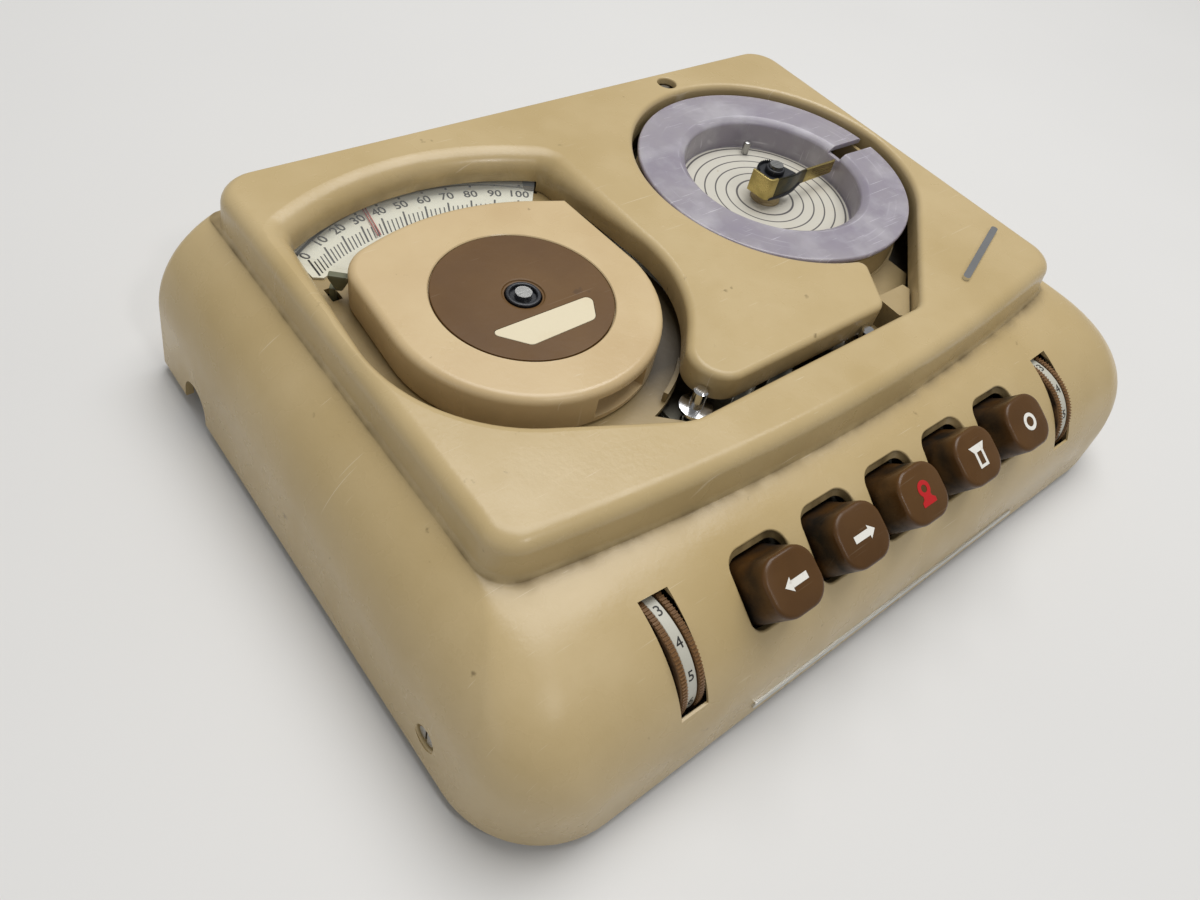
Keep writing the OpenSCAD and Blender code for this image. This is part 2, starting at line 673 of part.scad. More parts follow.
// Opening for the tape in the side of the cassette
exit_angle = -80.5;
exit_w = 20;
module cassette_body() color(cream_plastic) {
    inside = cassette_wall;
    difference() {
        loft([for (l = [[0, 0.6], [0.6, 0], [cassette_t - cassette_edge_r, 0],
            [cassette_t - cassette_edge_r * 0.6, 0.25], [cassette_t - cassette_edge_r * 0.25, 0.95],
            [cassette_t, cassette_edge_r]]) reversed(cassette_level(cassette_z + l[0], l[1]))]);
        translate([supply_x, supply_y, cassette_z + inside]) cylinder(r = cassette_r - inside,
            h = cassette_t - 2 * inside - disc_t);
        translate([supply_x, supply_y, cassette_z - 1]) cylinder(d = hub_hole_d, h = 5);
        translate([supply_x, supply_y, cassette_top - disc_t]) cylinder(d = disc_d + 0.4, h = 5);
        translate([supply_x, supply_y, cassette_z]) cylinder(r = hub_neck_r + 2.2, h = 30);
        translate([supply_x, supply_y, cassette_z + inside + 0.3]) rotate([0, 0, exit_angle])
            translate([cassette_r - 6, -exit_w / 2, 0])
                cube([20, exit_w, cassette_t - 2 * inside - disc_t - 0.6]);
    }
}
disc_t = 1.4;
module cassette_disc() color(brown_plastic) {
    translate([supply_x, supply_y, cassette_top - disc_t]) difference() {
        cylinder(d = disc_d, h = disc_t);
        translate([0, 0, -1]) cylinder(r = hub_neck_r + 0.6, h = 5);
        translate([0, 0, disc_t - label_t]) linear_extrude(2) polygon(label_path(0.15));
    }
}
label_t = 0.4;
label_mid = [0, -13.3];
function label_path(d) =
    [for (p = [[-17.4, 4.4], [16.8, 3.5], [17.4, 1.8], [13.9, -2.3], [8.9, -4.5], [-10.1, -4.2], [-17.5, 1.9]])
        label_mid + p * (1 + d / 10)];
module cassette_label() color(paper_white) {
    translate([supply_x, supply_y, cassette_top - label_t]) linear_extrude(label_t) polygon(label_path(0));
}
hub_bottom = cassette_z + cassette_wall + 0.6;
module supply_hub() color(black_plastic) {
    translate([supply_x, supply_y, hub_bottom]) difference() {
        union() {
            cylinder(r = 10, h = tape_w + 0.6);
            cylinder(r = 13, h = 0.6);
            cylinder(r = hub_neck_r, h = cassette_top + 0.2 - hub_bottom);
        }
        translate([0, 0, -1]) cylinder(d = spindle_d + 2 * run_gap, h = 40);
        translate([0, 0, cassette_top - hub_bottom - 1]) cylinder(r = hub_neck_r - 1.2, h = 5);
    }
}
module tape_pack() color("#4a2f22") {
    translate([supply_x, supply_y, hub_bottom + 0.6]) ring(pack_r, 10, tape_w);
}

// Spindles
spindle_low = bearing_low - 2;
module spindle(c, plate_low, plate_r, plate_h, high) {
    translate([c[0], c[1], 0]) {
        translate([0, 0, spindle_low]) cylinder(d = spindle_d, h = high - spindle_low);
        translate([0, 0, plate_low]) cylinder(r = plate_r, h = plate_h);
    }
}
module supply_spindle() color(steel) {
    spindle(supply, supply_bearing_top + play, 5.4, hub_bottom - supply_bearing_top - 2 * play,
        cassette_top + 0.8);
}
module takeup_spindle() color(steel) {
    spindle(takeup, takeup_bearing_top + play, 7, reel_low - takeup_bearing_top - play, top_z - 0.2);
}
// Take-up reel: lower flange with floor, inner wall and the wide upper flange with its gap
reel_low = reel_floor + 0.6;
reel_floor_t = 0.9;
reel_wall_t = 1.6;
reel_floor_top = reel_low + reel_floor_t;
module takeup_reel() color(lilac_plastic, 0.75) {
    translate([takeup_x, takeup_y, 0]) difference() {
        rotate_extrude($fn = 96) polygon([
            [0, reel_low], [reel_inner_r + 9, reel_low], [reel_inner_r + 9, reel_low + 1.2],
            [reel_inner_r, reel_low + 1.6], [reel_inner_r, flange_top - flange_t],
            [reel_r - 0.6, flange_top - flange_t], [reel_r, flange_top - flange_t + 0.6],
            [reel_r, flange_top - 0.8], [reel_r - 0.8, flange_top], [reel_inner_r + 0.6, flange_top],
            [reel_inner_r - reel_wall_t, flange_top - 1.2], [reel_inner_r - reel_wall_t, reel_floor_top],
            [0, reel_floor_top]
        ]);
        cylinder(d = spindle_d, h = 100);
        rotate([0, 0, reel_gap_angle]) translate([reel_inner_r - 6, -reel_gap / 2, flange_top - flange_t - 0.6])
            cube([30, reel_gap, 10]);
    }
}
paper_t = 0.3;
boss_r = 5.5;
module reel_label() color(paper_white) {
    translate([takeup_x, takeup_y, reel_floor_top]) ring(reel_inner_r - reel_wall_t - 0.6, boss_r + 0.2, paper_t);
}
// Tape catch: boss and post on the spindle, body held in a brass clip, its arm out to the gap, and a pin
catch_z = reel_floor_top;
clip_t = 1.2;
clip_end = reel_inner_r - reel_wall_t - 1.2;
clip_path = [[-8.2, 3.2], [-7.3, -5.2], [16.5, -2.9], [clip_end, -2.9]];
// Lower edge of each strip of the clip above the reel's floor, and its height
clip_spans = [[4.5, 9], [4.5, 7.6], [4.5, 5.6]];
catch_body = [[-7.8, 3.2], [-6.9, -4.9], [9, -3.4], [7, 2.5], [2.5, 6], [-4, 6.4]];
// Upright strip of metal from a to b, from height span[0], span[1] high
module strip(a, b, span) {
    run = b - a;
    translate([a[0], a[1], span[0]]) rotate([0, 0, atan2(run[1], run[0])])
        translate([-clip_t / 2, -clip_t / 2, 0]) cube([norm(run) + clip_t, clip_t, span[1]]);
}
module tape_catch() color(brass) {
    body_low = 4.5;
    body_h = flange_top - catch_z - body_low - 0.6;
    translate([takeup_x, takeup_y, catch_z]) {
        difference() {
            union() {
                cylinder(r = boss_r, h = body_low + 0.5);
                translate([0, 0, body_low]) linear_extrude(body_h) polygon(catch_body);
                cylinder(r = 3.6, h = body_low + body_h + 1.4);
                for (i = [0 : len(clip_spans) - 1]) strip(clip_path[i], clip_path[i + 1], clip_spans[i]);
            }
            translate([0, 0, -1]) cylinder(d = spindle_d, h = 40);
        }
        rotate([0, 0, 62]) translate([reel_inner_r - reel_wall_t - 4.5, 0, paper_t]) cylinder(d = 3, h = 5);
    }
}

// Release lever beside the cassette
lever_at = supply + [-40.5, 37.2];
lever_t = 2.4;
lever_w = 5;
lever_gap = 0.4;
lever_travel = 3;
lever_low = plate_top + lever_travel + 1;
lever_top = cassette_top - 3;
module release_lever() color("#7d8468") {
    translate([lever_at[0], lever_at[1], 0]) {
        translate([-lever_t / 2, -lever_w / 2, lever_low]) cube([lever_t, lever_w, tray_top + 3 - lever_low]);
        translate([0, lever_w / 2, tray_top + 3]) rotate([90, 0, 0]) linear_extrude(lever_w)
            polygon([[-lever_t / 2, 0], [lever_t / 2, 0], [lever_t / 2 - 0.8, lever_top - tray_top - 3],
                [-lever_t / 2, lever_top - tray_top - 3]]);
    }
}

// Heads on their bracket behind the tape slot
head_y = slot_rear_y + 0.6;
bracket_top = plate_top + 9;
bracket_front = tape_y - 2 * guide_r - 4;
module head_bracket() color("#77746a") {
    difference() {
        union() {
            translate([-42, bracket_front, bracket_top - 1.6]) cube([88, head_y + 16 - bracket_front, 1.6]);
            for (x = [-40, 38]) translate([x, head_y + 11, plate_top])
                cylinder(d = 5, h = bracket_top - 1 - plate_top);
            translate([arm_pivot[0] - 6, arm_pivot[1] - 4, bracket_top - 1.6])
                cube([12, bracket_front - arm_pivot[1] + 6, 1.6]);
            translate([arm_pivot[0], arm_pivot[1], bracket_top - 1]) cylinder(d = arm_pin_d, h = 6.5);
        }
        translate([capstan[0], capstan[1], 0]) cylinder(d = bearing_d + 6, h = 100);
    }
}
head_h = 11;
module head(x, w, d) {
    translate([x, head_y + 2, bracket_top]) {
        translate([-w / 2, 0, 0]) cube([w, d, head_h]);
        intersection() {
            translate([0, w * 0.55, 1]) cylinder(r = w * 0.7, h = head_h - 2);
            translate([-w / 2 + 1, -2.4, 0]) cube([w - 2, 4, head_h]);
        }
    }
}
module record_head() color("#b4b1a6") head(-2, 13, 11);
module erase_head() color("#7a7c80") head(-19, 10, 9);
guide_spots = [[supply_x + 26, slot_rear_y + 4.3], [takeup_x - 32, (slot_front_y + slot_rear_y) / 2]];
guide_neck_r = guide_r - 0.4;
guide_plate_r = 5;
module tape_guides() color(steel) {
    for (p = guide_spots) translate([p[0], p[1], bracket_top]) rotate_extrude() polygon([
        [0, 0], [guide_r + 0.6, 0], [guide_r + 0.6, 1.2], [guide_r, 1.6], [guide_r, 6.8], [guide_plate_r, 7.2],
        [guide_plate_r, 8.2], [guide_neck_r, 8.6], [guide_neck_r, 14.6], [guide_neck_r - 0.5, 15], [0, 15]
    ]);
}

// Capstan with its flywheel, the motor and the belt
belt_t = 1.6;
belt_z = plate_z - 6.2;
flywheel_low = plate_z - 8.5;
flywheel_h = 7.5;
groove_depth = 1.8;
belt_gap = 0.3;
module flywheel() color("#8c8d8c") {
    translate([capstan[0], capstan[1], 0]) {
        translate([0, 0, flywheel_low - 2]) cylinder(d = capstan_d, h = collar_z + 1.6 - flywheel_low);
        translate([0, 0, flywheel_low]) difference() {
            cylinder(d = flywheel_d, h = flywheel_h);
            translate([0, 0, belt_z - flywheel_low - 0.4])
                ring(flywheel_d, flywheel_d / 2 - groove_depth, belt_t + 0.8);
            translate([0, 0, 2]) ring(flywheel_d / 2 - 5, bearing_d / 2 + 1, flywheel_h);
            translate([0, 0, capstan_bearing_low - play - flywheel_low])
                ring(bearing_d / 2 + 1.1, capstan_d / 2, flywheel_h);
        }
    }
}
motor_top = plate_z - 9;
module motor() color("#5d6166") {
    translate([motor_at[0], motor_at[1], 0]) difference() {
        union() {
            translate([0, 0, base_top]) cylinder(d = motor_d, h = motor_top - 1.5 - base_top);
            translate([0, 0, motor_top - 1.6]) cylinder(d = 16, h = 1.6);
            for (a = [45 : 90 : 315]) rotate([0, 0, a]) translate([motor_d / 2 - 3, 0, motor_top - 2])
                cylinder(d = 4, h = plate_z - motor_top + 2);
        }
        translate([0, 0, base_top + 2]) cylinder(d = motor_shaft_d + 2 * run_gap, h = 60);
    }
}
motor_shaft_d = 4;
module motor_pulley() color(brass) {
    translate([motor_at[0], motor_at[1], 0]) {
        translate([0, 0, base_top + 4]) cylinder(d = motor_shaft_d, h = plate_z - 2 - base_top - 4);
        difference() {
            translate([0, 0, motor_top + 0.5]) cylinder(d = pulley_d + 2 * groove_depth, h = 6.5);
            translate([0, 0, belt_z - 0.4]) ring(pulley_d + 9, pulley_d / 2, belt_t + 0.8);
        }
    }
}
module belt_loop(d) {
    hull() {
        translate(motor_at) circle(r = pulley_d / 2 + d, $fn = 32);
        translate(capstan) circle(r = flywheel_d / 2 - groove_depth + d, $fn = 64);
    }
}
module drive_belt() color(dark_rubber) {
    translate([0, 0, belt_z]) linear_extrude(belt_t) difference() {
        belt_loop(belt_gap + 1.2);
        belt_loop(belt_gap);
    }
}
// Pinch roller on its swinging arm
arm_pin_d = 4;
arm_z = bracket_top + 0.3;
roller_pin_d = 3;
module pinch_arm() color("#9a958a") {
    reach = roller_at - arm_pivot;
    translate([arm_pivot[0], arm_pivot[1], arm_z]) difference() {
        union() {
            cylinder(d = arm_pin_d + 5, h = 4);
            rotate([0, 0, atan2(reach[1], reach[0])]) translate([0, -3, 0]) cube([norm(reach), 6, 1.6]);
            translate([reach[0], reach[1], 0]) cylinder(d = 7, h = 1.6);
            translate([reach[0], reach[1], 0]) cylinder(d = roller_pin_d, h = 9.6);
        }
        translate([0, 0, -1]) cylinder(d = arm_pin_d + 2 * run_gap, h = 20);
    }
}
module pinch_roller() color(dark_rubber) {
    translate([roller_at[0], roller_at[1], arm_z + 1.9]) difference() {
        cylinder(d = pinch_d, h = 7.4);
        translate([0, 0, -1]) cylinder(d = roller_pin_d + 2 * run_gap, h = 20);
    }
}

// Push buttons: cap with a crowned face, stem through the frame, return spring round the stem
stem_w = 7;
cap_in = 9;
frame_low = -18;
frame_t = 2;
stem_end = frame_low - 7;
spring_d = 13;
spring_wire = 1.2;
module button(i) color(brown_plastic) {
    on_shoulder(i * button_pitch) {
        loft([
            square_level(button_w, button_h, 4.4, -cap_in),
            square_level(button_w, button_h, 4.4, button_out - 3.2),
            square_level(button_w - 0.8, button_h - 0.8, 4.2, button_out - 1.6),
            square_level(button_w - 2.6, button_h - 2.6, 3.6, button_out - 0.5),
            square_level(button_w - 7, button_h - 7, 3, button_out)
        ]);
        translate([-stem_w / 2, -stem_w / 2, stem_end]) cube([stem_w, stem_w, -cap_in - stem_end + 0.5]);
    }
}
module button_rewind() button(-2);
module button_forward() button(-1);
module button_record() button(0);
module button_play() button(1);
module button_stop() button(2);

module spring(i) color(steel) {
    on_shoulder(i * button_pitch) translate([0, 0, frame_low + frame_t])
        ring(spring_d / 2, spring_d / 2 - spring_wire, -cap_in - frame_low - frame_t);
}
module spring_rewind() spring(-2);
module spring_forward() spring(-1);
module spring_record() spring(0);
module spring_play() spring(1);
module spring_stop() spring(2);

// Frame that guides the five stems, carried by two feet on the base plate
stem_gap = 0.4;
module button_frame() color("#8f8a7c") {
    frame_w = 4 * button_pitch + 24;
    difference() {
        union() {
            on_shoulder(0) translate([-frame_w / 2, -9, frame_low]) cube([frame_w, 18, frame_t]);
            for (s = [-1, 1]) intersection() {
                on_shoulder(0) translate([s * (frame_w / 2 - 3) - 3, -9, frame_low - 60]) cube([6, 18, 60.5]);
                translate([-200, -200, base_top]) cube([400, 400, 100]);
            }
        }
        for (i = button_names) on_shoulder(i * button_pitch)
            translate([0, 0, frame_low - 1]) linear_extrude(5)
            square(stem_w + 2 * stem_gap, center = true);
    }
}

// Thumbwheels on brackets
axle_len = wheel_w + 7;
module wheel_at(s) {
    translate([s * wheel_x, wheel_mid[0], wheel_mid[1]]) rotate([0, 90, 0]) children();
}
module thumbwheel(s) color(brown_plastic) {
    wheel_at(s) difference() {
        union() {
            translate([0, 0, -wheel_w / 2]) cylinder(r = wheel_r - 0.6, h = wheel_w, $fn = 96);
            for (t = [-wheel_w / 2, wheel_w / 2 - 2.2]) translate([0, 0, t])
                cylinder(r = wheel_r, h = 2.2, $fn = 96);
        }
        translate([0, 0, -20]) cylinder(d = wheel_bore + 2 * run_gap, h = 40);
    }
}
module volume_wheel() thumbwheel(-1);
module tone_wheel() thumbwheel(1);
module wheel_brackets() color("#77746a") {
    cheek_t = 1.6;
    for (s = [-1, 1]) {
        wheel_at(s) translate([0, 0, -axle_len / 2]) cylinder(d = wheel_bore, h = axle_len);
        for (t = [-1, 1]) difference() {
            translate([s * wheel_x + t * (axle_len / 2 - cheek_t / 2) - cheek_t / 2, wheel_mid[0] - 6, base_top])
                cube([cheek_t, 12, wheel_mid[1] + 6 - base_top]);
            wheel_at(s) cylinder(d = wheel_bore - 0.2, h = 60, center = true);
        }
        translate([s * wheel_x - axle_len / 2 + 0.5, wheel_mid[0] - 6, base_top])
            cube([axle_len - 1, 12, cheek_t]);
    }
}

// Electrics under the chassis plate
transformer_at = [-84, 56];
module transformer() color("#4d4a48") {
    translate([transformer_at[0], transformer_at[1], base_top]) {
        translate([-24, -12, 0]) cube([48, 24, 26]);
        difference() {
            translate([-15, -20, 5]) cube([30, 40, 17]);
            translate([-24, -12.1, -1]) cube([48, 24.2, 40]);
        }
        for (s = [-1, 1]) translate([s * 27 - 5, -8, 0]) cube([10, 16, 1.6]);
    }
}
board_at = [68, 22];
board_z = base_top + 4;
module circuit_board() color("#6b5a2c") {
    difference() {
        union() {
            translate([board_at[0] - 34, board_at[1] - 36, board_z]) cube([68, 72, 1.6]);
            for (x = [-1, 1]) for (y = [-1, 1])
                translate([board_at[0] + x * 30, board_at[1] + y * 32, base_top])
                cylinder(d = 5, h = board_z - base_top + 0.5);
        }
        for (x = [-1, 1]) for (y = [-1, 1]) translate([board_at[0] + x * 30, board_at[1] + y * 32, board_z])
            cylinder(d = 2, h = 10);
    }
}
board_top = board_z + 1.6;
module valves() color("#cfd6d8") {
    for (i = [0 : 2]) translate([board_at[0] + 24, board_at[1] - 26 + 26 * i, board_top]) {
        translate([-12, -9, 0]) cube([6, 18, 18]);
        translate([-6.5, 0, 9.5]) rotate([0, 90, 0]) cylinder(d = 17, h = 14);
    }
}
module capacitors() color("#3f4650") {
    for (i = [0 : 3]) translate([board_at[0] - 26, board_at[1] - 24 + 16 * i, board_top])
        cylinder(d = 9, h = 15);
}
socket_x = -half_w + 13;
socket_w = 17;
module socket_panel() color("#3a3530") {
    difference() {
        union() {
            translate([socket_x, notch_y - socket_w / 2, base_top]) cube([1.6, socket_w, 18]);
            translate([socket_x, notch_y - socket_w / 2, base_top]) cube([10, socket_w, 1.4]);
            translate([socket_x + 1, notch_y, base_top + 7]) rotate([0, 90, 0]) cylinder(d = 13, h = 9);
        }
        translate([socket_x - 1, notch_y, base_top + 7]) rotate([0, 90, 0]) cylinder(d = 10, h = 8);
    }
}

// Plain trim bars
trim_h = rim_z + 5.8;
trim_w = 128;
front_trim_t = 0.6;
module front_trim() color("#d8d8d4") {
    translate([2, front_y + front_in(trim_h - rim_z), trim_h]) rotate([90 - skirt_draft, 0, 0])
        linear_extrude(front_trim_t) union() {
            square([trim_w, 2.4], center = true);
            for (s = [-1, 1]) translate([s * trim_w / 2, 0]) circle(d = 2.4);
        }
}
deck_trim_at = [91.5, -36.6];
deck_trim_w = 36;
deck_trim_turn = 20;
module deck_trim() color("#d8d8d4") {
    translate([deck_trim_at[0], deck_trim_at[1], top_z]) rotate([0, 0, deck_trim_turn])
        linear_extrude(1.3) union() {
        square([deck_trim_w, 2.4], center = true);
        for (s = [-1, 1]) translate([s * deck_trim_w / 2, 0]) circle(d = 2.4);
    }
}

upper_case();
base_plate();
rubber_feet();
foot_screws();
base_screws();
case_screws();
chassis_plate();
chassis_posts();
cassette_tray();
reel_tray();
scale_plate();
scale_window();
scale_pointer();
head_bracket();
record_head();
erase_head();
tape_guides();
supply_bearing();
takeup_bearing();
capstan_bearing();
supply_spindle();
takeup_spindle();
flywheel();
motor();
motor_pulley();
drive_belt();
pinch_arm();
pinch_roller();
cassette_body();
cassette_disc();
cassette_label();
supply_hub();
tape_pack();
takeup_reel();
reel_label();
tape_catch();
release_lever();
button_frame();
button_rewind();
button_forward();
button_record();
button_play();
button_stop();
spring_rewind();
spring_forward();
spring_record();
spring_play();
spring_stop();
wheel_brackets();
volume_wheel();
tone_wheel();
transformer();
circuit_board();
valves();
capacitors();
socket_panel();
front_trim();
deck_trim();
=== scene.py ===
"""Looks of a desk-top reel-to-reel tape recorder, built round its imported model.

Sizes are in millimetres here and in metres in Blender. +X runs along the front, +Y to the back and +Z up.
"""

import logging
import math
from contextlib import contextmanager
from dataclasses import dataclass
from enum import Enum
from typing import Any, Iterable, Iterator, Sequence

import bmesh
import bpy
from mathutils import Matrix, Vector
from mathutils.geometry import intersect_point_line


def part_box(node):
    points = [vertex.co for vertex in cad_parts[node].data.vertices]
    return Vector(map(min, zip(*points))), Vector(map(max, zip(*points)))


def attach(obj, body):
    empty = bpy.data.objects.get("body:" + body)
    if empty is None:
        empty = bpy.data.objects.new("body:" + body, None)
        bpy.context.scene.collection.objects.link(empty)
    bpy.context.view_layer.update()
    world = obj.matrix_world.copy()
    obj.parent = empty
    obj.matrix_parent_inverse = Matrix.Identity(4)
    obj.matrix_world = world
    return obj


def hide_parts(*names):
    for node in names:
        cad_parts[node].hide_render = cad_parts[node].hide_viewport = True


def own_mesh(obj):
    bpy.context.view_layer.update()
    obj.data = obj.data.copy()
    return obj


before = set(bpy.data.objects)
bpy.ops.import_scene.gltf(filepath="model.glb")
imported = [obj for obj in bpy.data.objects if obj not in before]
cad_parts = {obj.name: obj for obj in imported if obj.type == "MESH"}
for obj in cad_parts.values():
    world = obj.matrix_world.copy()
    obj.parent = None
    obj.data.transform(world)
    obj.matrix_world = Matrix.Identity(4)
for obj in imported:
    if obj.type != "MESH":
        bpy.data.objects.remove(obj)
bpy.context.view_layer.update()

LOG = logging.getLogger("recorder")
MM = 0.001
Flat = tuple[float, float]
Point = tuple[float, float, float]
Path = list[Flat]
Level = list[Point]
Tree = bpy.types.NodeTree
Node = bpy.types.Node
Socket = bpy.types.NodeSocket
Mesh = bpy.types.Mesh

# Axes of the two reels, and the middle of the arc on which the scale lies.
SUPPLY: Flat = (-64.5, 18.0)
TAKEUP: Flat = (60.5, 35.0)
SCALE_MIDDLE: Flat = (SUPPLY[0], SUPPLY[1] - 24.7)
# Top of the deck, lower edge of the collar round its wells, and distance from key to key.
TOP = 66.5
COLLAR = 57.0
KEY_PITCH = 27.4
# Directions of a key's axis, which leans back by half a right angle.
SLOPE = math.sqrt(0.5)
# Points nearer than this, in metres, are one; height of a digit as a share of the letter size.
HAIRLINE = 2e-6
DIGIT_SHARE = 0.73


class Body(str, Enum):
    """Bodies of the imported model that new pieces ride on."""

    MACHINE = "machine"
    POINTER = "pointer"
    CASSETTE = "cassette"
    SPOOL = "supply_spool"
    RELEASE = "release"
    TAKEUP = "takeup"
    VOLUME = "volume"
    TONE = "tone"


def linear(code: str) -> tuple[float, float, float, float]:
    """Turn an sRGB hex code into a linear colour with full alpha."""
    parts = [int(code[i:i + 2], 16) / 255 for i in (1, 3, 5)]
    red, green, blue = (c / 12.92 if c <= 0.04045 else ((c + 0.055) / 1.055) ** 2.4 for c in parts)
    return (red, green, blue, 1.0)


def per(size: float) -> float:
    """Texture scale, in features to the metre, for a feature of that many millimetres."""
    return 1000 / size


def feed(tree: Tree, node: Node, inputs: dict[Any, Any] | Sequence[Any]) -> None:
    """Set a node's inputs to values, or link sockets to them, by name or in order."""
    for key, value in inputs.items() if isinstance(inputs, dict) else enumerate(inputs):
        if isinstance(value, Socket):
            tree.links.new(value, node.inputs[key])
        else:
            node.inputs[key].default_value = value


def add(tree: Tree, kind: str, inputs: dict[Any, Any] | Sequence[Any] = (), **settings: Any) -> Node:
    """Add a node with its settings, and set or link its inputs.

    Args:
        tree: The tree that gets the node.
        kind: Blender's name of the node type.
        inputs: Values or sockets, by the input's name or in order.
        settings: Values of the node's own properties.

    Returns:
        The new node.
    """
    node = tree.nodes.new(kind)
    for name, value in settings.items():
        setattr(node, name, value)
    feed(tree, node, inputs)
    return node


@dataclass(frozen=True)
class Coat:
    """A material in the making: its tree, its principled shader and the object coordinates."""

    tree: Tree
    shader: Node
    place: Socket

    def dress(self, inputs: dict[str, Any]) -> None:
        """Set or link the shader's inputs."""
        feed(self.tree, self.shader, inputs)

    def out(self, kind: str, inputs: dict[Any, Any] | Sequence[Any], output: int = 0, **settings: Any) -> Socket:
        """Add a shader node, named without its prefix, and return one of its outputs."""
        return add(self.tree, "ShaderNode" + kind, inputs, **settings).outputs[output]

    def blend(self, share: Any, first: Any, second: Any) -> Socket:
        """Blend two colours by a share."""
        return self.out("Mix", {0: share, 6: first, 7: second}, 2, data_type="RGBA")

    def away(self, centre: Flat, keep: Point = (1, 1, 0)) -> Socket:
        """Distance in metres from an axis through a centre, or from a point if Z is kept too."""
        middle = (centre[0] * MM, centre[1] * MM, 0)
        moved = self.out("VectorMath", [self.place, middle], operation="SUBTRACT")
        kept = self.out("VectorMath", [moved, keep], operation="MULTIPLY")
        return self.out("VectorMath", [kept], 1, operation="LENGTH")

    def patches(self, size: float, low: float, high: float, detail: float = 3.0, most: float = 1.0) -> Socket:
        """Soft patches of a real size.

        Args:
            size: Size of a patch in millimetres.
            low: Noise value where the patches begin.
            high: Noise value where they are full.
            detail: Octaves of finer noise.
            most: Value of a full patch.

        Returns:
            The socket with the value, 0 between the patches.
        """
        noise = self.out("TexNoise", {"Vector": self.place, "Scale": per(size), "Detail": detail})
        return self.out("MapRange", [noise, low, high, 0.0, most])

    def rings(self, radius: Socket, size: float) -> Socket:
        """Noise by radius alone, its rings as far apart as a size in millimetres."""
        return self.out("TexNoise", {"W": radius, "Scale": per(size), "Detail": 2.0}, noise_dimensions="1D")

    def scratches(self, width: float, length: float, turn: float, rarity: float) -> Socket:
        """Thin straight scratches of a real size.

        Args:
            width: Width of a scratch in millimetres.
            length: Its length in millimetres.
            turn: Direction about Z in degrees.
            rarity: Noise value above which a scratch shows.

        Returns:
            The socket with the value, 1 in a scratch.
        """
        lay = self.out("Mapping", {"Vector": self.place, "Rotation": (0.3, 0.2, math.radians(turn)),
                                   "Scale": (per(length), per(width), per(length))})
        noise = self.out("TexNoise", {"Vector": lay, "Scale": 1.0, "Detail": 1.0})
        return self.out("MapRange", [noise, rarity, rarity + 0.06])

    def grain(self, size: float, detail: float, strength: float, height: float) -> Socket:
        """Fine bumps of a real size and height, both in millimetres, as a normal."""
        noise = self.out("TexNoise", {"Vector": self.place, "Scale": per(size), "Detail": detail})
        return self.out("Bump", {"Height": noise, "Strength": strength, "Distance": height * MM})


@dataclass(frozen=True)
class Finish:
    """A surface finish: the name of the real material, its colour and how it shines."""

    name: str
    colour: str
    rough: float = 0.4

    def material(self) -> bpy.types.Material:
        """Return the material of this finish, made at its first use."""
        made = bpy.data.materials.get(self.name)
        if made is None:
            made = bpy.data.materials.new(self.name)
            made.use_nodes = True
            made.diffuse_color = linear(self.colour)
            tree = made.node_tree
            tree.nodes.clear()
            shader = add(tree, "ShaderNodeBsdfPrincipled", {"Roughness": self.rough})
            add(tree, "ShaderNodeOutputMaterial", {"Surface": shader.outputs[0]})
            self.paint(Coat(tree, shader, add(tree, "ShaderNodeTexCoord").outputs["Object"]))
        return made

    def paint(self, coat: Coat) -> None:
        """Link this finish's pattern to the shader."""
        raise NotImplementedError


@dataclass(frozen=True)
class MouldedPlastic(Finish):
    """Old injection-moulded plastic: glossy, a little cloudy, scuffed, with dirt and painted shade in its corners."""

    shade: str = "#000000"
    # Colour of stains, and of dirt and painted shade where the point attribute asks for it.
    dirt_and_shade: str = "#5d4c2c"
    stain: float = 0.6
    scuff: float = 0.35
    cloud_mm: float = 45.0
    peel_mm: float = 1.6
    shine: float = 0.5

    def paint(self, coat: Coat) -> None:
        """Cloudy colour, stains, dirt and painted shade from the point attribute, scuffs in colour and gloss, and
        orange peel.
        """
        shade, dirt_and_shade = linear(self.shade), linear(self.dirt_and_shade)
        colour = coat.blend(coat.patches(self.cloud_mm, 0.35, 0.7), linear(self.colour), shade)
        colour = coat.blend(coat.patches(5.0, 0.5, 0.75, most=0.2), colour, shade)
        colour = coat.blend(coat.patches(7.0, 0.72, 0.77, 4.0, self.stain), colour, dirt_and_shade)
        # Dirt and painted shade: the point attribute, in patches, blends the colour towards the dark colour.
        grime = coat.out("Attribute", (), 2, attribute_name="grime")
        share = coat.out("Math", [grime, coat.patches(9.0, 0.25, 0.65, 5.0)], operation="MULTIPLY")
        colour = coat.blend(share, colour, dirt_and_shade)
        long_marks, short_marks = coat.scratches(0.5, 22.0, 33.0, 0.75), coat.scratches(0.4, 9.0, -52.0, 0.76)
        marks = coat.out("Math", [long_marks, short_marks], operation="MAXIMUM")
        pale = coat.out("Math", [marks, self.scuff], operation="MULTIPLY")
        dull = coat.out("Math", [coat.patches(18.0, 0.4, 0.7, 4.0, 0.16), self.rough], operation="ADD")
        dull = coat.out("Math", [share, 0.3, dull], operation="MULTIPLY_ADD")
        coat.dress({"Base Color": coat.blend(pale, colour, linear("#e9dcc2")), "Roughness": dull, "IOR": 1.5,
                    "Normal": coat.grain(self.peel_mm, 2.0, 0.10, 0.4), "Specular IOR Level": self.shine})


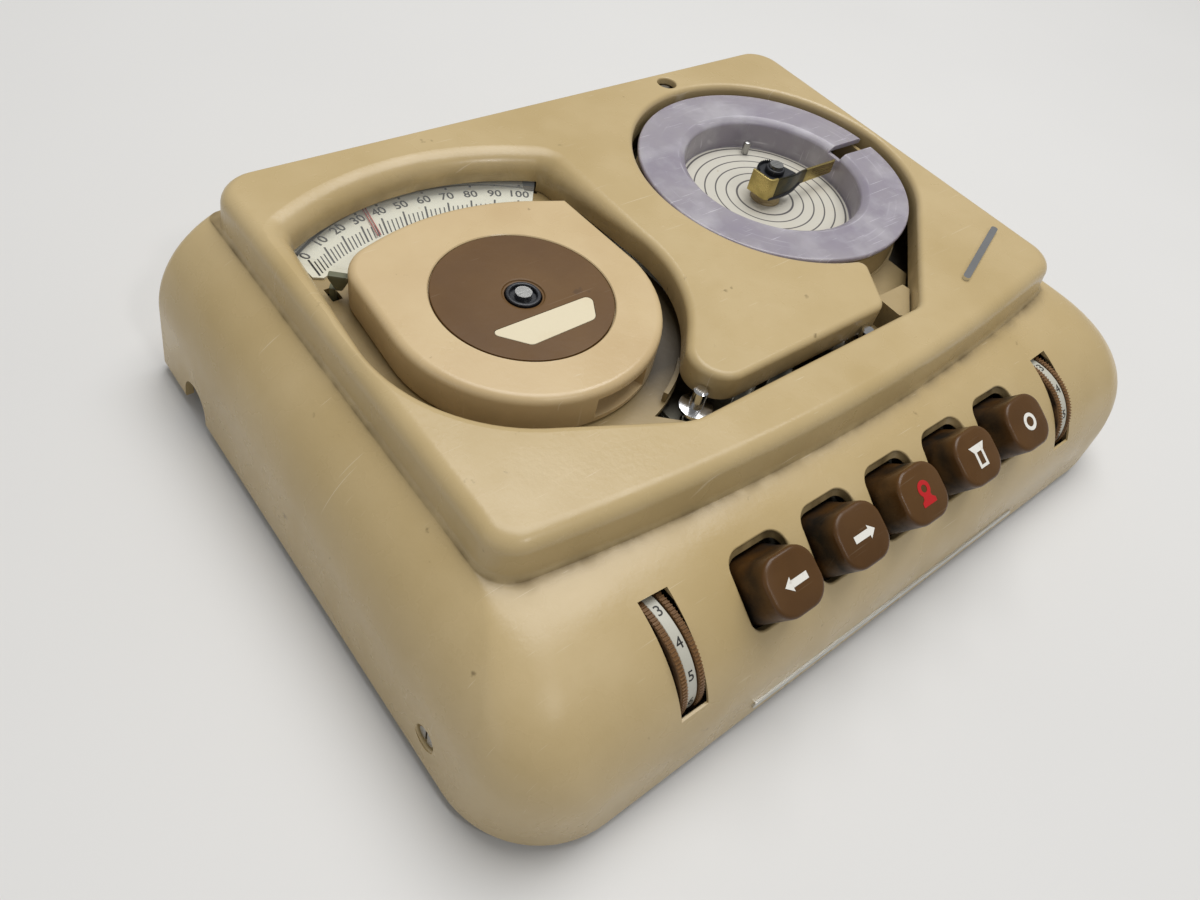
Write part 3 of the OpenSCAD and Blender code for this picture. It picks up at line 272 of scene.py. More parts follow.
@dataclass(frozen=True)
class TrayPlastic(MouldedPlastic):
    """Moulded plastic of the well floor, with painted shadow that turns it near black in the gap beside the cassette.
    """

    black: str = "#2a2111"

    def paint(self, coat: Coat) -> None:
        """The plain plastic, then painted shadow by distance and side from the supply axis."""
        super().paint(coat)
        # Painted shadow: the floor blends to near black in the gap beside the cassette.
        (x, y), away = SUPPLY, coat.away(SUPPLY)
        sides = add(coat.tree, "ShaderNodeSeparateXYZ", [coat.place]).outputs
        share: Any = 0.92
        for value, low, high in ((away, 36, 42), (away, 60, 56), (sides[0], x, x + 22), (sides[1], y - 52, y - 34)):
            mask = coat.out("MapRange", [value, low * MM, high * MM])
            share = coat.out("Math", [share, mask], operation="MULTIPLY")
        unshaded = coat.shader.inputs["Base Color"].links[0].from_socket
        coat.dress({"Base Color": coat.blend(share, unshaded, linear(self.black))})


@dataclass(frozen=True)
class FrostedPlastic(Finish):
    """Translucent moulded polystyrene: pale where it is thick, with fine curved scratches from handling."""

    deep: str = "#8f83b4"
    glow: float = 0.35
    clear: float = 0.0
    frost: float = 0.5
    centre: Flat = TAKEUP

    def paint(self, coat: Coat) -> None:
        """Soft clouds, scratches round the centre, and light that goes into the surface."""
        colour = coat.blend(coat.patches(22.0, 0.35, 0.75, 4.0), linear(self.colour), linear(self.deep))
        lines = coat.out("MapRange", [coat.rings(coat.away(self.centre, (1, 1, 1)), 1.2), 0.6, 0.72])
        marks = coat.out("Math", [lines, coat.patches(12.0, 0.5, 0.66)], operation="MULTIPLY")
        marks = coat.out("Math", [marks, coat.scratches(0.4, 12.0, 64.0, 0.7)], operation="MAXIMUM")
        pale = coat.out("Math", [marks, 0.45], operation="MULTIPLY")
        dull = coat.out("Math", [marks, 0.25, self.rough], operation="MULTIPLY_ADD")
        colour = coat.blend(coat.patches(16.0, 0.48, 0.75, 5.0, self.frost), colour, linear("#d4d2d6"))
        coat.dress({"Base Color": coat.blend(pale, colour, linear("#efedf3")), "Roughness": dull, "IOR": 1.57,
                    "Transmission Weight": self.clear, "Subsurface Weight": self.glow,
                    "Subsurface Radius": (0.004, 0.0035, 0.005), "Subsurface Scale": 1.0})


@dataclass(frozen=True)
class Metal(Finish):
    """Bare or plated metal: streaks from its making, and a dull film that has come in patches."""

    film: str = "#6b6458"
    streak_mm: float = 0.5
    tarnish: float = 0.4

    def paint(self, coat: Coat) -> None:
        """Streaks along X in the gloss, and tarnish in patches."""
        fine = per(self.streak_mm)
        lay = coat.out("Mapping", {"Vector": coat.place, "Scale": (per(30.0), fine, fine)})
        streak = coat.out("TexNoise", {"Vector": lay, "Scale": 1.0, "Detail": 3.0})
        film = coat.patches(8.0, 0.45, 0.75, 4.0, self.tarnish)
        dull = coat.out("Math", [streak, 0.2, self.rough - 0.1], operation="MULTIPLY_ADD")
        dull = coat.out("Math", [film, 0.3, dull], operation="MULTIPLY_ADD")
        colour = coat.blend(film, linear(self.colour), linear(self.film))
        coat.dress({"Base Color": colour, "Roughness": dull, "Metallic": 1.0})


@dataclass(frozen=True)
class Paper(Finish):
    """Printed card: matt, with a faint fibre, brown spots of age and, where asked, printed rings."""

    spot: str = "#9a7b4a"
    foxing: float = 0.5
    ink: str = "#2b2732"
    centre: Flat = TAKEUP
    first_ring: float = 0.0
    ring_step: float = 1.0
    ring_count: int = 0

    def paint(self, coat: Coat) -> None:
        """Fibre, spots and printed rings, all in colour, with a fine bump."""
        colour = coat.blend(coat.patches(1.2, 0.3, 0.8, most=0.08), linear(self.colour), linear("#c9c1a8"))
        colour = coat.blend(coat.patches(16.0, 0.5, 0.8, 4.0, self.foxing * 0.5), colour, linear("#cbb488"))
        colour = coat.blend(coat.patches(3.0, 0.7, 0.76, most=self.foxing), colour, linear(self.spot))
        if self.ring_count:
            colour = coat.blend(self.printed(coat), colour, linear(self.ink))
        coat.dress({"Base Color": colour, "Normal": coat.grain(0.8, 3.0, 0.12, 0.2), "Specular IOR Level": 0.3})

    def printed(self, coat: Coat) -> Socket:
        """Evenly spaced printed rings, the inner and outer ones bolder, as a share from 0 to 1."""
        radius, share = coat.away(self.centre), 0.0
        for number in range(self.ring_count):
            half = (0.38 if number in (0, self.ring_count - 1) else 0.27) * MM
            at = (self.first_ring + self.ring_step * number) * MM
            gap = coat.out("Math", [coat.out("Math", [radius, at], operation="SUBTRACT")], operation="ABSOLUTE")
            line = coat.out("MapRange", [gap, half * 0.8, half * 1.2, 0.85, 0.0])
            share = coat.out("Math", [share, line], operation="MAXIMUM")
        return share


@dataclass(frozen=True)
class Rubber(Finish):
    """Black moulded rubber: matt, dusty, with a fine grain."""

    dust: str = "#5b5650"

    def paint(self, coat: Coat) -> None:
        """Dust in patches over a grained matt surface."""
        colour = coat.blend(coat.patches(6.0, 0.45, 0.8, 4.0, 0.5), linear(self.colour), linear(self.dust))
        coat.dress({"Base Color": colour, "Normal": coat.grain(0.6, 2.0, 0.25, 0.3)})


@dataclass(frozen=True)
class Ink(Finish):
    """Printed or painted colour: flat, worn thin or cloudy in spots."""

    worn: str = "#d9d2c0"
    wear: float = 0.35
    spot_mm: float = 1.5
    spots: Flat = (0.58, 0.72)

    def paint(self, coat: Coat) -> None:
        """Wear in spots."""
        spots = coat.patches(self.spot_mm, *self.spots, most=self.wear)
        coat.dress({"Base Color": coat.blend(spots, linear(self.colour), linear(self.worn))})


@dataclass(frozen=True)
class ClearSheet(Finish):
    """Clear sheet, plastic or glass: light goes through, with hazy patches where it is rubbed."""

    index: float = 1.49
    body: float = 1.0

    def paint(self, coat: Coat) -> None:
        """Haze in patches in the gloss and a trace of dust in the colour."""
        haze = coat.patches(10.0, 0.5, 0.8, 4.0, 0.12)
        coat.dress({"Base Color": coat.blend(haze, linear(self.colour), linear("#d8d5c8")), "IOR": self.index,
                    "Roughness": coat.out("Math", [haze, self.rough], operation="ADD"), "Alpha": self.body,
                    "Transmission Weight": 1.0 if self.body == 1.0 else 0.0})


@dataclass(frozen=True)
class WoundTape(Finish):
    """Oxide tape wound on a hub: fine rings of brown, a little glossy."""

    pale: str = "#6e4a35"

    def paint(self, coat: Coat) -> None:
        """Rings by radius. Real turns are 0.04 mm apart; they are drawn at 0.6 mm so that they show."""
        rings = coat.rings(coat.away(SUPPLY), 0.6)
        coat.dress({"Base Color": coat.blend(rings, linear(self.colour), linear(self.pale))})


# Glossy thermoplastic of the case: warm tan, cloudy, dirt and painted shade in the creases, pale scuffs.
CASE_TAN = MouldedPlastic("moulded_tan_abs", "#c4ae82", 0.22, shade="#b9a273", shine=0.4)
# The same plastic where it is out of reach: darker and duller, with painted shadow beside the cassette.
TRAY_TAN = TrayPlastic("moulded_tan_tray", "#ab966c", 0.38, shade="#937e54", stain=0.7)
# Creamier plastic of the cassette, with small brown spots.
CASSETTE_CREAM = MouldedPlastic("moulded_cream_styrene", "#d0b88d", 0.24, shade="#c8ae83", stain=0.75, cloud_mm=30.0)
# Brown plastic of the keys: glossy, nearly even, painted near black as shade where it goes into the case.
KEY_BROWN = MouldedPlastic("moulded_brown_styrene", "#5b3e1e", 0.26, shade="#503518", dirt_and_shade="#150e06", stain=0.08,
                           scuff=0.06, cloud_mm=20.0, shine=0.3)
# The same brown where thumbs have worn the wheels paler and matter, their side faces painted dark as shade.
WHEEL_BROWN = MouldedPlastic("moulded_brown_wheel", "#7a5a38", 0.45, shade="#6a4c2d", dirt_and_shade="#2a1c0f", stain=0.1,
                             scuff=0.1, cloud_mm=12.0, shine=0.3)
# The same brown plastic where it is the cassette's disc: matter and more yellow.
DISC_BROWN = MouldedPlastic("moulded_brown_disc", "#684a24", 0.42, shade="#5f421f", dirt_and_shade="#3c2a1c", stain=0.4,
                            scuff=0.1, cloud_mm=24.0, shine=0.35)
# Black thermoset of the hubs: hard shine, grey dust.
HUB_BLACK = MouldedPlastic("moulded_black_phenolic", "#1d1f26", 0.32, shade="#15161b", dirt_and_shade="#57534a", stain=0.4,
                           scuff=0.12, cloud_mm=12.0)
# Grey-green plastic of the release lever.
LEVER_GREEN = MouldedPlastic("moulded_grey_green", "#6f7056", 0.4, shade="#5e5f49", stain=0.3)
# Dark moulding of sockets and holders.
SOCKET_DARK = MouldedPlastic("moulded_dark_phenolic", "#3a3530", 0.45, shade="#2c2824", stain=0.3, scuff=0.1)
# Frosted reel flange, pale lilac with a soft inner light.
REEL_LILAC = FrostedPlastic("frosted_lilac_styrene", "#a09aa1", 0.3, deep="#8f8895")
# The reel's inner wall, where the same plastic is thin, smooth and lets light through.
REEL_PURPLE = FrostedPlastic("clear_purple_styrene", "#e8d6e6", 0.18, deep="#d6c0d4", glow=0.8, clear=0.15, frost=0.2)
# Matt grey-white card of the reel, with thin dark rings.
LABEL_PAPER = Paper("reel_label_card", "#ccc8bc", 0.6, foxing=0.3, first_ring=10.9, ring_step=4.12, ring_count=6)
# Whiter card of the scale, a little aged.
SCALE_PAPER = Paper("scale_card", "#dcdac9", 0.55, foxing=0.3)
# Yellowed card on the cassette, with brown spots.
CREAM_PAPER = Paper("cassette_label_card", "#e0d4b6", 0.5, foxing=0.6)
# Turned spindles and screws: clear grey shine.
STEEL = Metal("turned_steel", "#b4b4b2", 0.28)
# Plated sheet of the works: dull, yellowish grey.
SHEET_STEEL = Metal("plated_sheet_steel", "#a5a193", 0.42, film="#7c7360", streak_mm=0.9)
# Painted sheet of the base: plain matt brown.
BROWN_SHEET = MouldedPlastic("painted_brown_sheet", "#6d5a45", 0.5, shade="#5d4c39", stain=0.3, scuff=0.2)
# Polished guides and trim: sharp, bright reflections.
CHROME = Metal("polished_chrome", "#d5d6d8", 0.12, film="#8d897f", tarnish=0.25)
# Front strip: softer and whiter than chrome.
ALUMINIUM = Metal("satin_aluminium", "#d2d2ce", 0.3, film="#9f9b90", tarnish=0.3)
# Yellow brass with brown tarnish.
BRASS = Metal("aged_brass", "#c4b070", 0.26, film="#6b5f30", tarnish=0.6)
# Brass gone nearly black, with bare brass showing through in specks.
DARK_BRASS = Metal("blackened_brass", "#2c2f29", 0.3, film="#8d7a3e", tarnish=0.35)
# Dark grey iron of the motor and transformer.
IRON = Metal("laminated_iron", "#5b5956", 0.5, film="#40392f", streak_mm=0.4)
# Matt black of feet, belt and roller, grey with dust.
BLACK_RUBBER = Rubber("moulded_rubber", "#232323", 0.75)
# Olive-brown pressed board.
BOARD = MouldedPlastic("pressed_paper_board", "#6b5a2c", 0.5, shade="#5a4a22", stain=0.2, scuff=0.05)
# Clear bulbs.
VALVE_GLASS = ClearSheet("valve_glass", "#e6ecec", 0.03, index=1.5)
# Sheet over the scale: almost unseen but for its reflections.
WINDOW_CLEAR = ClearSheet("clear_acrylic", "#f4f6f3", 0.05, body=0.06)
# Dark brown tape edge on edge.
TAPE = WoundTape("oxide_tape", "#3c261b", 0.35)
# Black print of scale and figures.
BLACK_INK = Ink("black_print", "#1e1c1a", 0.6, wear=0.1)
# White paint of the key marks, worn in places.
WHITE_INK = Ink("white_print", "#e9e6dd", 0.5, worn="#8a7263", wear=0.25)
# Red paint of the record mark.
RED_INK = Ink("red_print", "#ba0a10", 0.5, worn="#7a4034", wear=0.25)
# Enamel of the pointer: duller red.
NEEDLE_RED = Ink("red_enamel", "#a83228", 0.35, worn="#7c2a22", wear=0.2)
# Ivory band of the wheels, greyed.
BAND_WHITE = MouldedPlastic("moulded_ivory_band", "#c4c2b6", 0.35, shade="#b8b5a6", dirt_and_shade="#6f6a5e", stain=0.3,
                            scuff=0.1)
# Table under the part: nearly even, pale, takes the shadow.
FLOOR_WHITE = Ink("pale_floor", "#dfdedc", 0.6, worn="#dbdad8", wear=1.0, spot_mm=300.0, spots=(0.3, 0.7))


def polar(radius: float, angle: float, centre: Flat = (0.0, 0.0)) -> Flat:
    """Point at a radius and an angle in degrees about a centre."""
    turn = math.radians(angle)
    return (centre[0] + radius * math.cos(turn), centre[1] + radius * math.sin(turn))


def arc(radius: float, first: float, last: float, steps: int, centre: Flat = (0.0, 0.0)) -> Path:
    """Points along an arc, both ends among them."""
    return [polar(radius, first + (last - first) * i / steps, centre) for i in range(steps + 1)]


def raised(path: Iterable[Flat], z: float) -> Level:
    """The same points at a height."""
    return [(x, y, z) for x, y in path]


def across(outline: Iterable[Flat], places: Iterable[float]) -> list[Level]:
    """An outline in Y and Z, repeated at several X."""
    path = list(outline)
    return [[(x, y, z) for y, z in path] for x in places]


def roll(radius: float, angle: float) -> Flat:
    """How far a rounded edge has gone out, and how far it lies below its top, at an angle in degrees."""
    turn = math.radians(angle)
    return radius * (1 - math.cos(turn)), radius * (1 - math.sin(turn))


def placed(centre: Flat, turn: float) -> Matrix:
    """Move to a centre after a turn about Z in degrees."""
    return Matrix.Translation((*centre, 0)) @ Matrix.Rotation(math.radians(turn), 4, "Z")


def rounded(corners: Sequence[Point], steps: int = 8, gap: float = 0.05) -> Path:
    """Closed path through corners, each rounded.

    Args:
        corners: X, y and radius of each corner.
        steps: Divisions of each rounding.
        gap: Points closer than this to the one before are left out.

    Returns:
        The points of the path.
    """
    path: Path = []
    for i, (x, y, radius) in enumerate(corners):
        here = Vector((x, y))
        back = (Vector(corners[i - 1][:2]) - here).normalized()
        on = (Vector(corners[(i + 1) % len(corners)][:2]) - here).normalized()
        half = math.acos(max(-1.0, min(1.0, back.dot(on)))) / 2
        middle = here + (back + on).normalized() * radius / math.sin(half)
        start = here + back * radius / math.tan(half) - middle
        end = here + on * radius / math.tan(half) - middle
        turn = math.atan2(start.x * end.y - start.y * end.x, start.dot(end))
        first = math.atan2(start.y, start.x)
        path += [polar(radius, math.degrees(first + turn * k / steps), middle) for k in range(steps + 1)]
    return [p for i, p in enumerate(path) if math.dist(p, path[i - 1]) > gap]


def arc_corner(centre: Flat, radius: float, first: float, last: float) -> Point:
    """Corner whose rounding is the arc about a centre."""
    x, y = polar(radius / math.cos(math.radians((first - last) / 2)), (first + last) / 2, centre)
    return (x, y, radius - 0.05)


def shifted(path: Path, distance: float | Sequence[float]) -> Path:
    """A clockwise path with every side moved out by one distance, or by one for each point."""
    moved: Path = []
    for i, here in enumerate(path):
        far = distance if isinstance(distance, (int, float)) else distance[i]
        p = Vector(here)
        u = (p - Vector(path[i - 1])).normalized()
        w = (Vector(path[(i + 1) % len(path)]) - p).normalized()
        first, second = Vector((-u.y, u.x)), Vector((-w.y, w.x))
        side = (first + second).normalized()
        moved.append(tuple(p + side * far / max(0.5, side.dot(first))))
    return moved


@contextmanager
def edited(mesh: Mesh) -> Iterator[bmesh.types.BMesh]:
    """Open a mesh for edits, and write them back."""
    work = bmesh.new()
    work.from_mesh(mesh)
    yield work
    work.to_mesh(mesh)
    work.free()


class Shape:
    """Closed shells gathered in millimetres and made into one mesh."""

    def __init__(self) -> None:
        """Start with nothing."""
        self.points: list[Point] = []
        self.faces: list[list[int]] = []
        self.slots: list[int] = []

    def face(self, ring: list[int], slot: int) -> None:
        """Add one face with its material slot."""
        self.faces.append(ring)
        self.slots.append(slot)

    def loft(self, levels: Sequence[Level], slot: int = 0, closed: bool = False) -> "Shape":
        """Skin through levels of equal point count, with end caps, or closed on itself.

        Args:
            levels: Rings of points.
            slot: Material slot of the faces.
            closed: True to join the last level to the first.

        Returns:
            This shape.
        """
        start, count, many = len(self.points), len(levels[0]), len(levels)
        self.points += [p for level in levels for p in level]
        for i in range(many if closed else many - 1):
            low, high = start + i * count, start + (i + 1) % many * count
            for j in range(count):
                k = (j + 1) % count
                self.face([low + j, low + k, high + k, high + j], slot)
        if not closed:
            self.face(list(range(start, start + count)), slot)
            self.face(list(range(start + (many - 1) * count, start + many * count)), slot)
        return self

    def prism(self, outline: Path, low: float, high: float, slot: int = 0) -> "Shape":
        """Straight prism of an outline between two heights."""
        return self.loft([raised(outline, low), raised(outline, high)], slot)

    def lathe(self, profile: Sequence[Flat], steps: int = 96, centre: Flat = (0.0, 0.0), slot: int = 0) -> "Shape":
        """Turn a closed profile of radius and height about Z.

        Args:
            profile: Corners of the section, in order round it.
            steps: Divisions of the turn.
            centre: Place of the axis.
            slot: Material slot of the faces.

        Returns:
            This shape.
        """
        levels = [[(*polar(r, 360 * i / steps, centre), z) for r, z in profile] for i in range(steps)]
        return self.loft(levels, slot, closed=True)

    def mesh(self, name: str, place: Matrix | None = None) -> Mesh:
        """Make the mesh in metres, merged and facing outwards, moved by a matrix in millimetres."""
        made = bpy.data.meshes.new(name)
        made.from_pydata(self.points, [], self.faces)
        made.polygons.foreach_set("material_index", self.slots)
        if place is not None:
            made.transform(place)
        made.transform(Matrix.Scale(MM, 4))
        with edited(made) as work:
            bmesh.ops.remove_doubles(work, verts=work.verts, dist=1e-6)
            bmesh.ops.dissolve_degenerate(work, edges=work.edges, dist=1e-7)
            bmesh.ops.delete(work, geom=[edge for edge in work.edges if edge.is_wire], context="EDGES")
            bmesh.ops.recalc_face_normals(work, faces=work.faces)
        return made


def bake(source: bpy.types.Object) -> Mesh:
    """Turn an object with its modifiers into a plain mesh, and remove the object."""
    graph = bpy.context.evaluated_depsgraph_get()
    shown = source.evaluated_get(graph)
    made = bpy.data.meshes.new_from_object(shown, preserve_all_data_layers=True, depsgraph=graph)
    bpy.data.objects.remove(source)
    return made


def stand(name: str, data: Any) -> bpy.types.Object:
    """Link a new object with this data at the origin."""
    made = bpy.data.objects.new(name, data)
    bpy.context.scene.collection.objects.link(made)
    return made


def carve(base: Mesh, tool: Mesh, operation: str = "DIFFERENCE") -> Mesh:
    """Cut one closed mesh with another and return the result."""
    work, cutter = stand("work", base), stand("cutter", tool)
    step = work.modifiers.new("cut", "BOOLEAN")
    step.solver, step.operation, step.object = "EXACT", operation, cutter
    result = bake(work)
    bpy.data.objects.remove(cutter)
    return result


def sew(work: bmesh.types.BMesh) -> None:
    """Close hairline gaps: split an open edge where another open point lies on it, and merge."""
    rim = [edge for edge in work.edges if edge.is_boundary]
    points = {vertex for edge in rim for vertex in edge.verts}
    for edge in rim:
        first, last = edge.verts
        for point in points - {first, last}:
            spot, share = intersect_point_line(point.co, first.co, last.co)
            if 0 < share < 1 and (spot - point.co).length < HAIRLINE:
                bmesh.utils.edge_split(edge, first, share)
                break
    bmesh.ops.remove_doubles(work, verts=work.verts, dist=HAIRLINE)


def soften(mesh: Mesh, angle: float = 35.0, bevel: float = 0.0, segments: int = 2) -> Mesh:
    """Round the sharp edges of a mesh and give it smooth, area-weighted normals.

    Args:
        mesh: The mesh, in metres.
        angle: Edges sharper than this many degrees stay crisp or get the bevel.
        bevel: Width of the bevel in millimetres, or 0 for none.
        segments: Segments of the bevel.

    Returns:
        The finished mesh.
    """
    mesh.shade_smooth()
    if not bevel:
        mesh.set_sharp_from_angle(angle=math.radians(angle))
    work = stand("soften", mesh)
    if bevel:
        edge = work.modifiers.new("edge", "BEVEL")
        edge.width, edge.segments, edge.limit_method = bevel * MM, segments, "ANGLE"
        edge.angle_limit, edge.harden_normals = math.radians(angle), False
    work.modifiers.new("weigh", "WEIGHTED_NORMAL").keep_sharp = not bevel
    return bake(work)


def store_dirt_and_shade(mesh: Mesh, values: Iterable[float]) -> None:
    """Write the attribute of dirt and painted shade, from 0 for none to 1 for full, point by point."""
    layer = mesh.attributes.new("grime", "FLOAT", "POINT")
    layer.data.foreach_set("value", [min(1.0, max(0.0, value)) for value in values])


def piece(name: str, mesh: Mesh, body: Body | str, finishes: Finish | Sequence[Finish],
          nodes: Sequence[str] = ()) -> bpy.types.Object:
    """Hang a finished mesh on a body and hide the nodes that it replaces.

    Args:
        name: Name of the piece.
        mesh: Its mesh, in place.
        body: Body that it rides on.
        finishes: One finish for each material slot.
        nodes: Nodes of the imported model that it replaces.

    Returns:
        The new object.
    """
    mesh.materials.clear()
    for finish in [finishes] if isinstance(finishes, Finish) else finishes:
        mesh.materials.append(finish.material())
    made = stand(name, mesh)
    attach(made, body.value if isinstance(body, Body) else body)
    if nodes:
        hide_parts(*nodes)
    return made


def joined(*meshes: Mesh) -> Mesh:
    """One mesh from several, their material slots kept by index."""
    made = bpy.data.meshes.new("joined")
    with edited(made) as work:
        for mesh in meshes:
            work.from_mesh(mesh)
    return made


class Grower:
    """Geometry Nodes trees for what repeats, each run once and kept as a plain mesh."""

    @staticmethod
    def begin(name: str, sockets: dict[str, str]) -> tuple[Tree, Any]:
        """Start a tree with a finish and other named inputs, and return it with their sockets."""
        tree = bpy.data.node_groups.new(name, "GeometryNodeTree")
        for way in ("OUTPUT", "INPUT"):
            tree.interface.new_socket("Geometry", in_out=way, socket_type="NodeSocketGeometry")
        for label, kind in (sockets | {"Finish": "Material"}).items():
            tree.interface.new_socket(label, in_out="INPUT", socket_type="NodeSocket" + kind)
        return tree, add(tree, "NodeGroupInput").outputs

    @staticmethod
    def end(tree: Tree, shape: Socket, finish: Socket) -> None:
        """End a tree: the instances made real, then the finish."""
        real = add(tree, "GeometryNodeRealizeInstances", [shape])
        dressed = add(tree, "GeometryNodeSetMaterial", {"Geometry": real.outputs[0], "Material": finish})
        add(tree, "NodeGroupOutput", [dressed.outputs[0]])

    @staticmethod
    def run(tree: Tree, values: dict[str, Any]) -> Mesh:
        """Run a tree with these input values, and return the plain mesh."""
        work = stand(tree.name, bpy.data.meshes.new("none"))
        step = work.modifiers.new("grow", "NODES")
        step.node_group = tree
        for item in tree.interface.items_tree:
            if item.in_out == "INPUT" and item.name in values:
                step[item.identifier] = values[item.name]
        return bake(work)

    def ring(self, part: Mesh, count: int, first: float, step: float, finish: Finish) -> Mesh:
        """Repeat a part round the Z axis.

        Args:
            part: The part at angle 0.
            count: How many there are.
            first: Angle of the first, in degrees.
            step: Angle from one to the next.
            finish: Finish of the parts.

        Returns:
            One mesh with all of them.
        """
        tree = bpy.data.node_groups.get("ring_of_parts")
        if tree is None:
            tree, start = self.begin("ring_of_parts", {
                "Part": "Object", "Count": "Int", "First": "Float", "Step": "Float"})
            line = add(tree, "GeometryNodeMeshLine", {"Count": start["Count"], "Offset": (0, 0, 0)})
            index = add(tree, "GeometryNodeInputIndex").outputs[0]
            angle = add(tree, "ShaderNodeMath", [index, start["Step"], start["First"]], operation="MULTIPLY_ADD")
            turn = add(tree, "ShaderNodeCombineXYZ", {"Z": angle.outputs[0]})
            shape = add(tree, "GeometryNodeObjectInfo", {"Object": start["Part"]})
            spread = add(tree, "GeometryNodeInstanceOnPoints", {
                "Points": line.outputs[0], "Instance": shape.outputs["Geometry"], "Rotation": turn.outputs[0]})
            self.end(tree, spread.outputs[0], start["Finish"])
        shape = stand("part", part)
        made = self.run(tree, {"Part": shape, "Count": count, "First": math.radians(first),
                               "Step": math.radians(step), "Finish": finish.material()})
        bpy.data.objects.remove(shape)
        return made

    def coil(self, turns: float, radius: float, height: float, wire: float, finish: Finish) -> Mesh:
        """Round wire wound into a spring that stands on the origin.

        Args:
            turns: Number of turns.
            radius: Radius of the wire's middle.
            height: Height of the wire's middle line.
            wire: Diameter of the wire.
            finish: Finish of the wire.

        Returns:
            The mesh of the spring.
        """
        tree = bpy.data.node_groups.get("wound_spring")
        if tree is None:
            sizes = ("Turns", "Radius", "Height", "Wire")
            tree, start = self.begin("wound_spring", {label: "Float" for label in sizes})
            line = add(tree, "GeometryNodeCurveSpiral", {
                "Resolution": 24, "Rotations": start["Turns"], "Start Radius": start["Radius"],
                "End Radius": start["Radius"], "Height": start["Height"]})
            section = add(tree, "GeometryNodeCurvePrimitiveCircle", {"Resolution": 8, "Radius": start["Wire"]})
            tube = add(tree, "GeometryNodeCurveToMesh", {
                "Curve": line.outputs[0], "Profile Curve": section.outputs[0], "Fill Caps": True})
            self.end(tree, tube.outputs[0], start["Finish"])
        return self.run(tree, {"Turns": turns, "Radius": radius * MM, "Height": height * MM, "Wire": wire * MM / 2,
                               "Finish": finish.material()})


GROWER = Grower()


def figure(text: str, height: float, bold: float = 0.006, depth: float = 0.06) -> Mesh:
    """A number as a thin flat mesh in millimetres, centred on the origin, its digits up +Y.

    Args:
        text: The digits.
        height: Height of a digit.
        bold: How far its strokes are widened on each side, as a share of the height.
        depth: Thickness of the mesh.

    Returns:
        The mesh.
    """
    curve = bpy.data.curves.new("figure", "FONT")
    curve.body, curve.size, curve.align_x, curve.align_y = text, height / DIGIT_SHARE, "CENTER", "CENTER"
    curve.extrude, curve.resolution_u = 1.0, 3
    mesh = bake(stand("figure", curve))
    with edited(mesh) as work:
        bmesh.ops.remove_doubles(work, verts=work.verts, dist=0.01 * height)
        work.normal_update()
        for vertex in work.verts:
            walls = [face.normal for face in vertex.link_faces if abs(face.normal.z) < 0.5]
            other = min(walls, key=walls[0].dot)
            vertex.co += (walls[0] + other) * height * bold / max(1 + other.dot(walls[0]), 0.3)
    mesh.transform(Matrix.Scale(depth / 2, 4, (0, 0, 1)))
    return mesh


